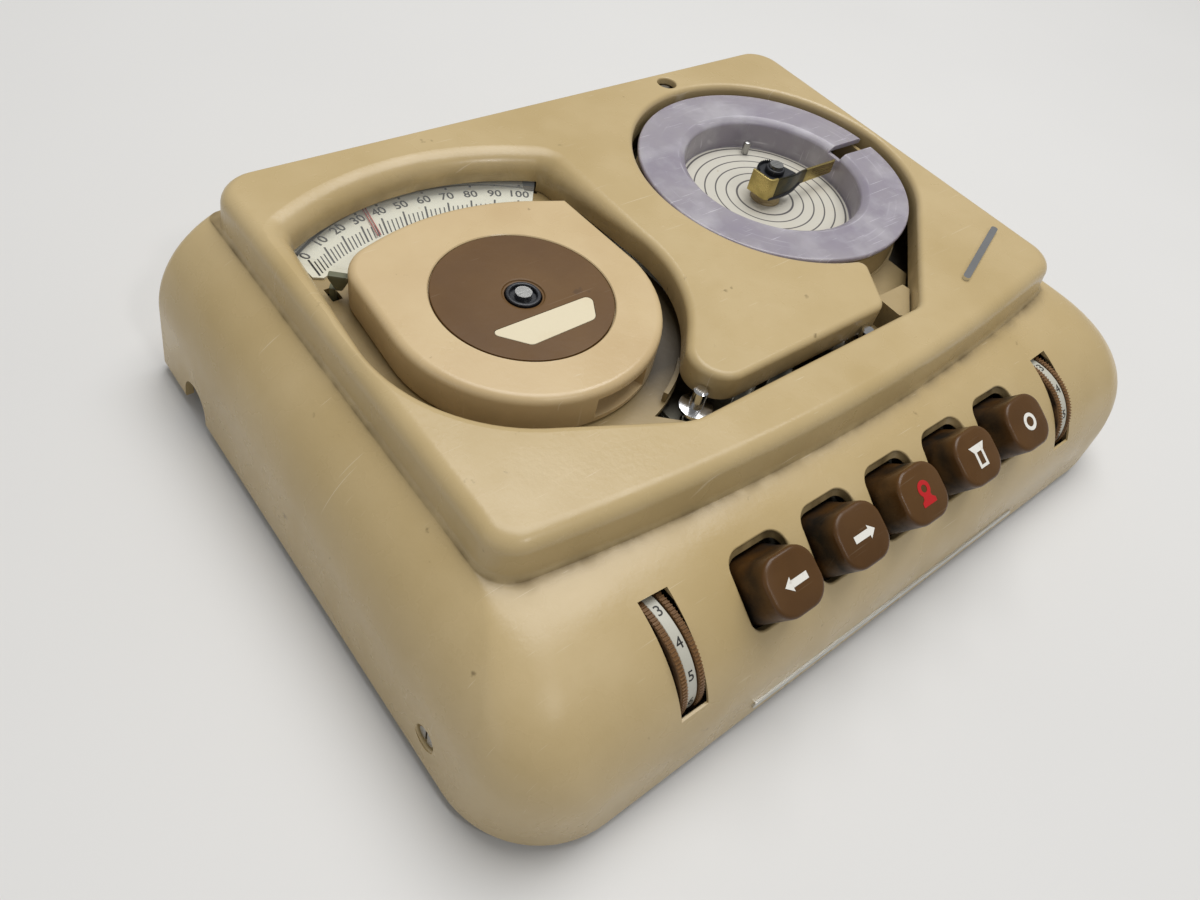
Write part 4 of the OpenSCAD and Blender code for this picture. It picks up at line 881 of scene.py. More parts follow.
@dataclass
class Case:
    """Upper moulding: flared skirt, wide shoulders, raised deck with its wells, holes and slots."""

    width: float = 290.0
    depth: float = 206.0
    rim: float = 4.0
    wall: float = 2.6
    shoulder: float = 50.2
    draft: float = math.radians(6.0)
    side_r: float = 34.0
    side_start: float = 22.5
    front_r: float = 42.0
    front_start: float = 12.8
    bow: float = 8.5
    rim_corner: float = 30.0
    deck_corner: float = 11.0
    deck_rear: float = 12.0
    deck_edge: float = 5.0
    deck_lean: float = 1.8
    scale_r: float = 91.0
    scale_ends: Flat = (116.8, 63.2)
    reel_r: float = 53.5
    slot_back: float = -38.0
    slot_front: float = -43.5
    lip_turn: float = 84.0
    key_axis: Flat = (-86.87, 44.6)
    hole_half: float = 10.15
    hole_low: float = -9.9
    hole_high: float = 10.6
    flare_high: float = 12.7
    flare_deep: float = 2.4
    hole_corner: float = 5.0
    hole_edge: float = 0.8
    wheel_axis: Flat = (-76.567, 29.103)
    wheel_x: float = 88.0
    wheel_slot: Point = (4.65, 29.0, 51.2)
    notch: Point = (75.0, 7.0, 7.5)
    side_screw: Flat = (-62.0, 15.5)
    deck_screw: Flat = (58.0, 95.0)

    def inset(self, h: float, radius: float, start: float, d: float) -> float:
        """How far a wall stands in from the rim at a height, its surface moved in by d."""
        if h < start:
            return h * math.tan(self.draft) + d
        low = start - radius * math.sin(self.draft)
        middle = start * math.tan(self.draft) + radius * math.cos(self.draft)
        return middle - math.sqrt(max(0.0, (radius - d) ** 2 - (h - low) ** 2))

    def side_in(self, h: float, d: float = 0.0) -> float:
        """Inset of the sides at a height."""
        return self.inset(h, self.side_r, self.side_start, d)

    def front_in(self, h: float, d: float = 0.0) -> float:
        """Inset of the front at a height."""
        return self.inset(h, self.front_r, self.front_start, d)

    def level(self, z: float, half: float, front: float, back: float, bow: float, near: float, far: float) -> Level:
        """Outline at one height.

        Args:
            z: Height.
            half: Half of the width.
            front: Y of the middle of the front.
            back: Y of the back.
            bow: How far the ends of the front lie behind its middle.
            near: Radius of the front corners.
            far: Radius of the rear corners.

        Returns:
            The points, always equally many.
        """
        lean = math.atan(2 * bow / (half - near))
        end = half - near + near * math.sin(lean)
        middle = front + bow + near * math.cos(lean)
        slant = math.degrees(lean)
        path = arc(near, 180, 270 - slant, 16, (near - half, middle))
        path += [(end * t, front + bow * t * t) for t in (i / 24 - 1 for i in range(1, 48))]
        path += arc(near, 270 + slant, 360, 16, (half - near, middle))
        rise = back - far - middle
        path += [(half, middle + rise * i / 24) for i in range(1, 24)]
        path += arc(far, 0, 90, 8, (half - far, back - far))
        path += [((half - far) * (1 - i / 16), back) for i in range(1, 32)]
        path += arc(far, 90, 180, 8, (far - half, back - far))
        path += [(-half, back - far - rise * i / 24) for i in range(1, 24)]
        return raised(path, z)

    def plan(self, h: float, d: float = 0.0) -> tuple[float, float, float, float]:
        """Half width, front inset, bow and front corners of the skirt at a height, its wall moved in by d."""
        inset = self.front_in(h, d)
        bow = self.bow * min(1.0, inset / self.front_in(self.shoulder)) ** 2
        near = self.rim_corner + (self.deck_corner - self.rim_corner) * (max(0.0, h) / self.shoulder) - d
        return self.width / 2 - self.side_in(h, d), inset, bow, near

    def skirt(self, h: float, d: float) -> Level:
        """One level of the skirt, its wall moved in by d."""
        half, inset, bow, near = self.plan(h, d)
        return self.level(self.rim + h, half, inset - self.depth / 2, self.depth / 2 - d, bow, near, 4 - d / 2)

    def deck(self, z: float, d: float, rear: float) -> Level:
        """One level of the raised deck, moved in by d from the crease."""
        half = self.width / 2 - self.side_in(self.shoulder) - d
        front = self.front_in(self.shoulder) - self.depth / 2 + d
        near, far = self.deck_corner - d / 2, self.deck_rear - d / 2
        return self.level(z, half, front, self.depth / 2 - rear, self.bow, near, far)

    def well(self) -> Path:
        """Outline of the open deck, clockwise: cassette well with its scale, tape slot and reel well."""
        (sx, sy), (tx, ty) = SUPPLY, TAKEUP
        turn = math.radians(self.scale_ends[0])
        left, right = (polar(self.scale_r, end, SCALE_MIDDLE) for end in self.scale_ends)
        corners = [(left[0] - 4.5 * math.sin(turn), left[1] + 4.5 * math.cos(turn), 4.0),
                   arc_corner(SCALE_MIDDLE, self.scale_r, *self.scale_ends),
                   (right[0] + 6 * math.sin(turn), right[1] + 6 * math.cos(turn), 5.0),
                   arc_corner((sx, sy + 2.5), 50.5, 5, -44), (sx + 13.7, self.slot_back, 10.0),
                   (tx - 23, self.slot_back, 6.0), (tx - 11, ty - 54.0, 3.5)]
        corners += [arc_corner(TAKEUP, self.reel_r, 253 - 60.8 * i, 192.2 - 60.8 * i) for i in range(5)]
        corners += [(tx - 11.9, self.slot_front, 8.0), (sx + 12.6, self.slot_front, 20.0),
                    arc_corner(SUPPLY, 49.2, 243, 172)]
        return rounded(corners, 18)

    def outer(self) -> Mesh:
        """Solid of the outside."""
        heights = [0.5, 2, 5, 9, self.front_start] + [14.4 + 1.6 * i for i in range(21)]
        heights += [47.4, 48.4, 49.2, 49.8, 50.02, 50.13]
        levels = [self.skirt(0, 0.5), self.skirt(0.15, 0.15)] + [self.skirt(h, 0) for h in heights]
        crease = self.rim + self.shoulder
        levels += [self.skirt(self.shoulder, 0), self.deck(crease + 0.7, 0.6, 0), self.deck(crease + 2, 1.1, 0)]
        for i in range(13):
            out, down = roll(self.deck_edge, 7.5 * i)
            levels.append(self.deck(TOP - down, self.deck_lean + out, out / 2))
        return Shape().loft(levels).mesh("outside")

    def inner(self) -> Mesh:
        """Solid of the hollow, with the collar round the wells left standing."""
        w, lean = self.wall, self.deck_lean
        heights = (-1, self.front_start, self.side_start, 29, 35, 40, 44, self.shoulder - w)
        levels = [self.skirt(h, w) for h in heights]
        levels += [self.deck(self.rim + self.shoulder - w + 1, lean + w, w), self.deck(TOP - w - 1, lean + w, w),
                   self.deck(TOP - w, lean + w + 1, w + 0.5)]
        path = self.well()
        around = shifted(path, [max(w - 0.6, 0.6 * lip) for lip in self.lips(path)])
        hollow = carve(Shape().loft(levels).mesh("hollow"), Shape().prism(around, COLLAR, TOP + 5).mesh("collar"))
        sector = arc(50.5, 36, 50.5, 6, SUPPLY) + arc(79, 50.5, 36, 6, SUPPLY)
        beside = Shape().prism(sector, 53.3, COLLAR + 0.3).mesh("beside")
        wall = carve(Shape().prism(around, 50, COLLAR + 3).mesh("round"), beside, "INTERSECT")
        return carve(hollow, wall)

    def mouth(self) -> Mesh:
        """Cutter of the wells, flared at the deck so that the rim comes out rounded."""
        path = self.well()
        lips = self.lips(path)
        levels = [raised(path, COLLAR - 10)]
        for i in range(10):
            rolls = [roll(lip, self.lip_turn / 9 * i) for lip in lips]
            flat = shifted(path, [out for out, _ in rolls])
            levels.append([(x, y, TOP - down) for (x, y), (_, down) in zip(flat, rolls)])
        slope = math.tan(math.radians(self.lip_turn))
        outer = shifted(path, [out + (down + 0.05) * slope for out, down in rolls])
        return Shape().loft(levels + [raised(outer, TOP + 0.05), raised(outer, TOP + 6)]).mesh("mouth")

    @staticmethod
    def lips(path: Path) -> list[float]:
        """Rounding of the rim at each point of the wells: broad round the cassette, tight round the reel."""
        raw: list[float] = []
        for x, y in path:
            if x > TAKEUP[0] - 26 or math.dist((x, y), TAKEUP) < 55:
                raw.append(2.3)
            elif y < -32:
                raw.append(2.2 if y < -42 else 2.0)
            elif y > SUPPLY[1] + 45:
                raw.append(7.5)
            else:
                raw.append(2.8 if x > SUPPLY[0] else 3.4)
        count, smooth = len(path), []
        for i, here in enumerate(path):
            near = [(i + k) % count for k in range(-24, 25)]
            weights = [math.exp(-(math.dist(here, path[j]) / 9.0) ** 2) for j in near]
            smooth.append(sum(w * raw[j] for w, j in zip(weights, near)) / sum(weights))
        return smooth

    def front_at(self, x: float, z: float) -> float:
        """Y of the front's outer surface."""
        half, inset, bow, near = self.plan(z - self.rim)
        lean = math.atan(2 * bow / (half - near))
        return inset - self.depth / 2 + bow * (x / (half - near + near * math.sin(lean))) ** 2

    def key_point(self, x: float, u: float, v: float, w: float) -> Point:
        """Point by a key's own directions: across, up the slope and out of the case."""
        return (x + u, self.key_axis[0] + (v - w) * SLOPE, self.key_axis[1] + (v + w) * SLOPE)

    def surface(self, x: float, u: float, v: float) -> float:
        """Distance along a key's axis at which the outer surface lies."""
        low, high = -9.0, 9.0
        for _ in range(40):
            middle = (low + high) / 2
            px, py, pz = self.key_point(x, u, v, middle)
            low, high = (low, middle) if py < self.front_at(px, pz) else (middle, high)
        return low

    def key_hole(self, x: float, shape: Shape) -> None:
        """Add the cutter of one key's hole, flared where it meets the surface."""
        a, low, r = self.hole_half, self.hole_low, self.hole_corner
        inside, path = (rounded([(-a, low, r), (-a, high, r), (a, high, r), (a, low, r)], 8, 0.0)
                        for high in (self.hole_high, self.flare_high))
        levels = [[self.key_point(x, u, v, -16) for u, v in inside]]
        levels.append([self.key_point(x, u, v, self.surface(x, u, v) - self.flare_deep) for u, v in inside])
        for angle in (0, 25, 50, 75):
            out, down = roll(self.hole_edge, angle)
            levels.append([self.key_point(x, u, v, self.surface(x, u, v) - down) for u, v in shifted(path, out)])
        wide = shifted(path, out + 0.5)
        levels.append([self.key_point(x, u, v, self.surface(x, u, v) + 0.12) for u, v in wide])
        levels.append([self.key_point(x, u, v, 16) for u, v in wide])
        shape.loft(levels)

    def holes(self) -> Mesh:
        """Cutters of the key holes, thumbwheel slots, cable notch and screw recesses."""
        shape = Shape()
        for i in range(-2, 3):
            self.key_hole(KEY_PITCH * i, shape)
        half, low, high = self.wheel_slot
        front, back = self.wheel_axis[0] - 42, self.wheel_axis[0] + 6
        slot = [(front, low), (front, high), (back, high), (back, low)]
        for side in (-1, 1):
            shape.loft(across(slot, [side * self.wheel_x + e for e in (-half, half)]))
        y, z, r = self.notch
        shape.loft(across([(y - r, 0.0), (y - r, z)] + arc(r, 180, 0, 20, (y, z)) + [(y + r, 0.0)], (-150, -133)))
        face = self.width / 2 - self.side_in(11.5)
        y, z = self.side_screw
        for side in (-1, 1):
            rings = [(3.75, face - 2.2), (3.75, face - 0.5), (3.9, face - 0.15), (4.3, face + 0.1), (4.3, face + 8)]
            shape.loft([[(side * x, y + a, z + b) for a, b in arc(r, 0, 352.5, 47)] for r, x in rings])
        rings = [(3.75, -4.5), (3.75, -0.7), (3.85, -0.35), (4.1, -0.1), (4.6, 0.05), (4.6, 4)]
        shape.loft([raised(arc(r, 0, 352.5, 47, self.deck_screw), TOP + h) for r, h in rings])
        return shape.mesh("holes")

    def relief(self) -> Mesh:
        """Cutters that thin the wall behind the thumbwheel slots, so that only a thin edge shows."""
        shape = Shape()
        skin, half, back = 0.75, 6.6, self.wheel_axis[0] + 9
        heights = [25.5 + 1.5 * i for i in range(17)]
        for x in (-self.wheel_x, self.wheel_x):
            outline = [(self.front_at(x, z) + skin, z) for z in heights] + [(back, heights[-1]), (back, heights[0])]
            shape.loft(across(outline, (x - half, x + half)))
        return shape.mesh("relief")

    def shade_and_soil(self, mesh: Mesh) -> None:
        """Dirt and painted shade along the crease, low on the well walls, in the key holes and round the rim."""
        path = [Vector(p) for p in self.well()]
        crease = self.rim + self.shoulder
        values = []
        for vertex in mesh.vertices:
            x, y, z = vertex.co / MM
            near = min((p.x - x) ** 2 + (p.y - y) ** 2 for p in path) ** 0.5
            # Painted shade: the well walls darken towards the floor; the crease and the bottom edge get dirt and
            # painted shade.
            if near < 3.4 and z < TOP - 0.4:
                value = 0.08 + 0.5 * min(1.0, max(0.0, TOP - 2.5 - z) / 8)
            else:
                reach = 0.9 if z > crease else 0.16
                value = 0.8 * math.exp(-abs(z - crease) / reach) + 0.25 * math.exp(-z / 5)
            values.append(max(value, self.sunk(x, y, z)))
        store_dirt_and_shade(mesh, values)

    def sunk(self, x: float, y: float, z: float) -> float:
        """Dirt and painted shade of a point in the flare of a key hole, nothing elsewhere."""
        key = KEY_PITCH * round(x / KEY_PITCH)
        y, z = y - self.key_axis[0], z - self.key_axis[1]
        u, v, w = x - key, (y + z) * SLOPE, (z - y) * SLOPE
        low, high = self.hole_low - 0.9, self.flare_high + 0.9
        if abs(key) > 60 or abs(u) > self.hole_half + 0.75 or not low < v < high or abs(w) > 12:
            return 0.0
        return (self.surface(key, u, v) - w - 0.1) / 0.5

    def build(self) -> None:
        """Cut the moulding from its solids and hang it on the machine."""
        mesh = self.outer()
        for cutter in (self.inner, self.mouth, self.relief, self.holes):
            mesh = carve(mesh, cutter())
        with edited(mesh) as work:
            bmesh.ops.remove_doubles(work, verts=work.verts, dist=HAIRLINE)
            bmesh.ops.dissolve_degenerate(work, edges=work.edges, dist=1e-6)
            sew(work)
        self.shade_and_soil(mesh)
        piece("case_moulding", soften(mesh, 40), Body.MACHINE, CASE_TAN, ["upper_case"])


@dataclass
class ScaleUnit:
    """Paper scale under its clear window, with bars, figures, ticks and the red pointer."""

    fan: Flat = (SUPPLY[0] - 43.0, SUPPLY[1] - 55.7)
    lean_from: Flat = (SUPPLY[0] - 2.3, SUPPLY[1] - 12.8)
    zero: float = 88.55
    step: float = -3.48
    tick: float = 7.9
    short: float = 2.1
    paper_top: float = 53.8
    figure_tall: float = 3.6
    figure_bold: float = 0.018
    rest: float = 100.825
    slot: Flat = (70.2, 71.8)

    def build(self) -> None:
        """Print the scale, lay its margin and make the pointer."""
        marks = []
        for i in range(51):
            part, angle = i / 5, self.zero + self.step * i / 5
            edge = self.edge(part)
            if i % 5:
                marks.append(self.bar(edge - self.tick, edge - self.short, angle, 0.4))
                continue
            marks.append(self.bar(edge - self.tick, edge, angle, 0.6))
            # Keeps the slot of the pointer's post free.
            if part > 1:
                away = edge + min(6.1 + 0.28 * part, 4.2 + 0.9 * part)
                marks.append(self.bar(away - 0.9, away + 0.1, angle, 0.8))
            spot = Vector(polar(edge + min(3.5, 1.9 + 1.2 * part), angle, self.fan))
            lean = spot - Vector(self.lean_from)
            mesh = figure(str(2 * i), self.figure_tall, self.figure_bold)
            mesh.transform(Matrix.Translation((*spot, self.paper_top + 0.03))
                           @ Matrix.Rotation(math.atan2(-lean.x, lean.y), 4, "Z"))
            mesh.transform(Matrix.Scale(MM, 4))
            marks.append(mesh)
        piece("scale_print", joined(*marks), Body.MACHINE, BLACK_INK)
        self.margin()
        self.pointer()

    def bar(self, inner: float, outer: float, angle: float, width: float) -> Mesh:
        """A thin printed bar from one radius to another."""
        first, last = (Vector(polar(radius, angle, self.fan)) for radius in (inner, outer))
        along = (last - first).normalized() * width / 2
        side = Vector((-along.y, along.x))
        outline = [tuple(first + side), tuple(first - side), tuple(last - side), tuple(last + side)]
        return Shape().prism(outline, self.paper_top + 0.01, self.paper_top + 0.05).mesh("bar")

    @staticmethod
    def edge(part: float) -> float:
        """Distance from the fan's middle at which the ticks end, by tenths of the scale."""
        return 108.9 + 3.85 * part - 0.142 * part * part

    def margin(self) -> None:
        """Paper that runs on under the rim, with the slot of the pointer's post."""
        (_, _, low), (_, _, high) = (Vector(corner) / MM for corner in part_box("scale_plate"))
        end = [(-108.0, 72.0), (-107.2, 63.6), (-104.4, 62.0), (-99.0, 64.0), (-100.0, 70.5)]
        outline = end + arc(88.5, 113.5, 63.0, 36, SCALE_MIDDLE) + arc(96.5, 63.0, 116.0, 40, SCALE_MIDDLE)
        slot = arc(self.slot[1], 134, 48, 60, SUPPLY) + arc(self.slot[0], 48, 134, 60, SUPPLY)
        cutter = Shape().prism(slot, low - 1, high + 1).mesh("slot")
        strip = carve(Shape().prism(outline, low, high - 0.02).mesh("margin"), cutter)
        piece("scale_margin", soften(strip, 30), Body.MACHINE, SCALE_PAPER)

    def pointer(self) -> None:
        """Bush and arm under the floor, post through the slot and a needle of two parallel wires."""
        shape = Shape()
        shape.lathe([(5.05, 47.4), (7.5, 47.4), (7.5, 50.4), (5.05, 50.4)], 48)
        shape.prism([(7.2, -1.5), (72, -1.5), (72, 1.5), (7.2, 1.5)], 47.4, 48.8)
        shape.prism([(70.6, -0.9), (71.4, -0.9), (71.4, 0.9), (70.6, 0.9)], 48.6, 54.6)
        turns = [math.radians(60 * k) for k in range(6)]
        for side in (-0.5, 0.5):
            shape.loft([[(x, y + side + 0.22 * math.cos(a), 54.4 + 0.2 * math.sin(a)) for a in turns]
                        for x, y in ((56.0, 5.4), (70.9, 0.0))])
        mesh = soften(shape.mesh("pointer", placed(SUPPLY, self.rest)), 40)
        piece("pointer_needle", mesh, Body.POINTER, NEEDLE_RED, ["scale_pointer"])


@dataclass
class Cassette:
    """Drop-in tape cassette: cream body with an inset brown disc, a card label and a hub."""

    radius: float = 41.5
    rear: float = 42.0
    low: float = 53.5
    edge: float = 2.6
    disc_r: float = 26.8
    turn: float = -3.5
    label: tuple[Point, ...] = ((-18.2, 4.3, 1.3), (18.0, 4.0, 1.8), (12.8, -4.8, 2.8), (-9.8, -5.2, 2.4))

    def outline(self) -> Path:
        """Outline in plan, clockwise: round at the front and nearly square at the back."""
        path = rounded([(-self.radius, self.rear - 8.5, 14.0), arc_corner((0, self.rear - 80), 80, 112, 68),
                        (self.radius, self.rear - 8.5, 6.0), arc_corner((0, 0), self.radius, 0, -90),
                        arc_corner((0, 0), self.radius, -90, -180)], 20, 0.4)
        turn = Matrix.Rotation(math.radians(self.turn), 2)
        return [tuple(turn @ Vector(p) + Vector(SUPPLY)) for p in path]

    def body(self) -> Mesh:
        """Body with its disc recess, hollow, hub bore, tape exit and slit."""
        path, low = self.outline(), self.low
        rings = [(0.8, low), (0.25, low + 0.25), (0.0, low + 0.8), (0.0, TOP - self.edge)]
        for i in range(1, 10):
            out, down = roll(self.edge, 10 * i)
            rings.append((out, TOP - down))
        mesh = Shape().loft([raised(shifted(path, -d), z) for d, z in rings]).mesh("cassette")
        recess = [(0.35, -1.5), (0.35, -0.3), (0.75, 0.1), (0.75, 3)]
        sector = arc(36.9, -95, -66.5, 16, SUPPLY) + arc(50, -66.5, -95, 16, SUPPLY)
        slit = arc(30, -69.6, -66.8, 3, SUPPLY) + arc(40, -66.8, -69.6, 3, SUPPLY)
        seat = [raised(arc(self.disc_r + r, 0, 357.5, 143, SUPPLY), TOP + h) for r, h in recess]
        for cutter in (Shape().loft(seat),
                       Shape().prism(arc(35.8, 0, 357, 119, SUPPLY), 55.2, 62.8),
                       Shape().prism(arc(7.6, 0, 352.5, 47, SUPPLY), 50, 70),
                       Shape().prism(sector, 55.7, 63.0), Shape().prism(slit, 56.0, 62.5)):
            mesh = carve(mesh, cutter.mesh("cutter"))
        return mesh

    @staticmethod
    def grime(point: Vector) -> float:
        """Dirt and painted shade low on the sides and inside the tape exit."""
        x, y, z = point / MM
        deep = 0.45 if math.dist((x, y), SUPPLY) < 38 and 55 < z < 63.5 and y < SUPPLY[1] else 0.0
        return max(deep, 0.28 * min(1.0, (TOP - 2 - z) / 11))

    def build(self) -> None:
        """Make the body, disc, label and hub."""
        mesh = self.body()
        store_dirt_and_shade(mesh, (self.grime(vertex.co) for vertex in mesh.vertices))
        piece("cassette_shell", soften(mesh, 38), Body.CASSETTE, CASSETTE_CREAM, ["cassette_body"])
        r = self.disc_r
        profile = [(5.6, -1.4), (r, -1.4), (r, -0.35), (r - 0.1, -0.12), (r - 0.35, 0), (7.0, 0), (6.4, -0.12),
                   (6.1, -0.5), (5.6, -0.6)]
        disc = Shape().lathe([(a, TOP + h) for a, h in profile], 144, SUPPLY).mesh("disc")
        x, y = SUPPLY[0], SUPPLY[1] - 13.3
        path = rounded([(x + a, y + b, c) for a, b, c in self.label], 6)
        disc = carve(disc, Shape().prism(shifted(path, 0.18), TOP - 0.45, TOP + 3).mesh("seat"))
        piece("cassette_face", soften(disc, 30), Body.CASSETTE, DISC_BROWN, ["cassette_disc"])
        label = Shape().loft([raised(path, TOP - 0.4), raised(path, TOP), raised(shifted(path, -0.12), TOP + 0.08)])
        mesh = soften(label.mesh("label"), 30)
        piece("cassette_card", mesh, Body.CASSETTE, CREAM_PAPER, ["cassette_label"])
        hub = [(2.55, 55.9), (13, 55.9), (13, 56.5), (10, 56.5), (10, 62.4), (5.2, 62.4), (5.2, 66.4), (5.0, 66.65),
               (4.6, 66.75), (4.2, 66.65), (4.0, 66.4), (4.0, 65.5), (2.55, 65.5)]
        mesh = soften(Shape().lathe(hub, 64, SUPPLY).mesh("hub"), 30)
        piece("supply_core", mesh, Body.SPOOL, HUB_BLACK, ["supply_hub"])


@dataclass
class TakeupReel:
    """Open take-up reel: frosted flange with a gap, clear inner wall, card with rings and the tape catch."""

    radius: float = 51.2
    inner: float = 35.0
    top: float = 64.0
    floor: float = 51.8
    gap_turn: float = -2.0
    # Faces of the profile that get the clear plastic of the inner wall.
    clear_faces: tuple[int, ...] = (3, 14, 15, 16, 17)

    def build(self) -> None:
        """Make the reel, its card and its catch."""
        r, i, t, z = self.radius, self.inner, self.top, self.floor
        profile = [(2.5, 50.9), (44, 50.9), (44.0, 52.1), (i, 52.5), (i, t - 2), (r - 0.6, t - 2),
                   (r - 0.15, t - 1.85), (r, t - 1.4), (r, t - 0.9), (r - 0.12, t - 0.45), (r - 0.4, t - 0.15),
                   (r - 0.85, t), (i + 1.3, t), (i + 0.7, t - 0.15), (i - 1.0, t - 1.3), (i - 1.5, t - 2.0),
                   (i - 1.6, t - 2.6), (i - 1.6, z + 0.6), (i - 1.9, z), (2.5, z)]
        shape = Shape().lathe(profile, 192, TAKEUP)
        shape.slots = [int(k % len(profile) in self.clear_faces) for k in range(len(shape.faces))]
        gap = rounded([(28, -3.0, 0.3), (28, 3.0, 0.3), (60, 3.0, 0.3), (60, -3.0, 0.3)], 2)
        cutter = Shape().prism(gap, t - 2.6, t + 5).mesh("gap", placed(TAKEUP, self.gap_turn))
        mesh = soften(carve(shape.mesh("reel"), cutter), 32)
        piece("reel_flange", mesh, Body.TAKEUP, [REEL_LILAC, REEL_PURPLE], ["takeup_reel"])
        card = [(5.7, 0), (i - 2.2, 0), (i - 2.2, 0.22), (i - 2.35, 0.3), (5.8, 0.3), (5.7, 0.22)]
        piece("reel_card", soften(self.turned(card, 128, TAKEUP).mesh("card"), 30), Body.TAKEUP, LABEL_PAPER,
              ["reel_label"])
        self.catch()

    def turned(self, profile: Sequence[Flat], steps: int, centre: Flat) -> Shape:
        """Turn a profile whose heights start from the reel's floor."""
        return Shape().lathe([(r, self.floor + h) for r, h in profile], steps, centre)

    def catch(self) -> None:
        """Tan boss, black body with a serrated back edge, dark plate, brass clip with its arm, and the small pin."""
        z, at = self.floor, Matrix.Translation((TAKEUP[0] * MM, TAKEUP[1] * MM, 0))
        boss = self.turned([(2.5, 0), (5.6, 0), (5.6, 0.5), (5.2, 1.0), (5.2, 4.7), (2.5, 4.7)], 64, TAKEUP)
        piece("catch_boss", soften(boss.mesh("boss"), 30), Body.TAKEUP, TRAY_TAN, ["tape_catch"])
        body = Shape().prism(arc(6.6, 20, 155, 18) + [(-7.2, 1.5), (-6.5, -4.4), (8.2, -3.9)], z + 4.5, z + 11.2)
        body.lathe([(2.5, z + 11), (3.6, z + 11), (3.6, z + 12.8), (3.3, z + 13.3), (2.5, z + 13.3)], 48)
        tooth = Shape().loft([raised([(a, -b), (c, -b), (c, b), (a, b)], z + h)
                              for a, c, b, h in ((5.6, 6.6, 0.44, 11.0), (5.8, 6.5, 0.1, 12.2))]).mesh("tooth")
        teeth = GROWER.ring(tooth, 17, 22, 8.2, HUB_BLACK)
        bead = self.strip([(-6.2, -5.3, 4.1, 5.4), (0, -5.9, 4.1, 5.4), (4, -5.7, 4.1, 5.5), (7.5, -5.0, 4.2, 5.7),
                           (10.5, -3.9, 4.3, 5.8), (13, -3.2, 4.4, 5.8)], 1.7)
        mesh = joined(soften(body.mesh("body"), 30, 0.3), teeth, soften(bead, 30, 0.5, 3))
        mesh.transform(at)
        piece("catch_body", soften(mesh, 30), Body.TAKEUP, HUB_BLACK)
        plate = self.strip([(x, y, 4.5, high) for x, y, high in (
            (-4.2, -5.5, 12.8), (0, -5.8, 12.7), (4, -5.6, 12.3), (7.5, -4.9, 11.6), (10.5, -3.8, 10.8),
            (13, -3.1, 10.3), (15.8, -2.9, 10.1))], 0.9)
        plate.transform(at)
        piece("catch_plate", soften(plate, 40, 0.2), Body.TAKEUP, DARK_BRASS)
        hook = self.strip([(x, y, 4.5, 13.0) for x, y in (
            (-8.2, 3.2), (-7.7, -2.8), (-7.5, -4.4), (-7.1, -5.0), (-6.4, -5.35), (-4.0, -5.5))], 1.0)
        arm = self.strip([(x, y, 4.5, high) for x, y, high in (
            (15.4, -2.9, 10.1), (24, -2.9, 10.0), (31.2, -2.9, 9.8), (31.9, -2.7, 9.8), (32.2, -2.2, 9.8))], 1.0)
        mesh = joined(hook, arm)
        mesh.transform(at)
        piece("catch_clip", soften(mesh, 40, 0.2), Body.TAKEUP, BRASS)
        profile = [(0, 0.3), (1.4, 0.3), (1.4, 4.7), (1.2, 5.1), (0.8, 5.3), (0, 5.3)]
        pin = self.turned(profile, 32, polar(28.9, 62, TAKEUP))
        piece("catch_pin", soften(pin.mesh("pin"), 35), Body.TAKEUP, STEEL)

    def strip(self, path: Sequence[tuple[float, float, float, float]], thick: float) -> Mesh:
        """Upright strip of sheet metal.

        Args:
            path: Points x, y, lower edge and upper edge along its middle, the heights from the reel's floor.
            thick: Thickness of the sheet.

        Returns:
            The mesh of the strip.
        """
        levels: list[Level] = []
        for i, (x, y, low, high) in enumerate(path):
            before, after = path[max(i - 1, 0)], path[min(i + 1, len(path) - 1)]
            along = Vector((after[0] - before[0], after[1] - before[1])).normalized() * thick / 2
            left, right = (x - along.y, y + along.x), (x + along.y, y - along.x)
            low, high = self.floor + low, self.floor + high
            levels.append([(*left, low), (*right, low), (*right, high), (*left, high)])
        return Shape().loft(levels).mesh("strip")


@dataclass
class Lever:
    """Release lever beside the cassette: a wedge, broad at the top, on a flat stem."""

    foot: Flat = (-105.0, 55.2)
    head: Flat = (-104.0, 53.0)
    turn: float = -39.0
    stem_top: float = 56.1
    sections: tuple[Point, ...] = ((56.4, 0.9, 0.9), (57.2, 1.4, 1.0), (60.4, 3.0, 1.2), (61.2, 3.1, 1.2),
                                   (61.6, 3.0, 1.1), (61.8, 2.7, 0.8))

    def build(self) -> None:
        """Loft the wedge on its stem and hang it on the release."""
        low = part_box("release_lever")[0][2] / MM
        turn = Matrix.Rotation(math.radians(self.turn), 2)
        levels: list[Level] = []
        for z, a, b in ((low, 0.9, 1.2), (self.stem_top, 0.9, 1.2), *self.sections):
            path = rounded([(-a, -b, 0.4), (-a, b, 0.4), (a, b, 0.4), (a, -b, 0.4)], 4, 0.0)
            middle = Vector(self.head if z > self.stem_top else self.foot)
            levels.append(raised([tuple(turn @ Vector(p) + middle) for p in path], z))
        mesh = Shape().loft(levels).mesh("lever")
        piece("lever_wedge", soften(mesh, 40), Body.RELEASE, LEVER_GREEN, ["release_lever"])


class Icon(Enum):
    """Marks on the five keys, from left to right."""

    REWIND = -2
    FORWARD = -1
    RECORD = 0
    PLAY = 1
    STOP = 2


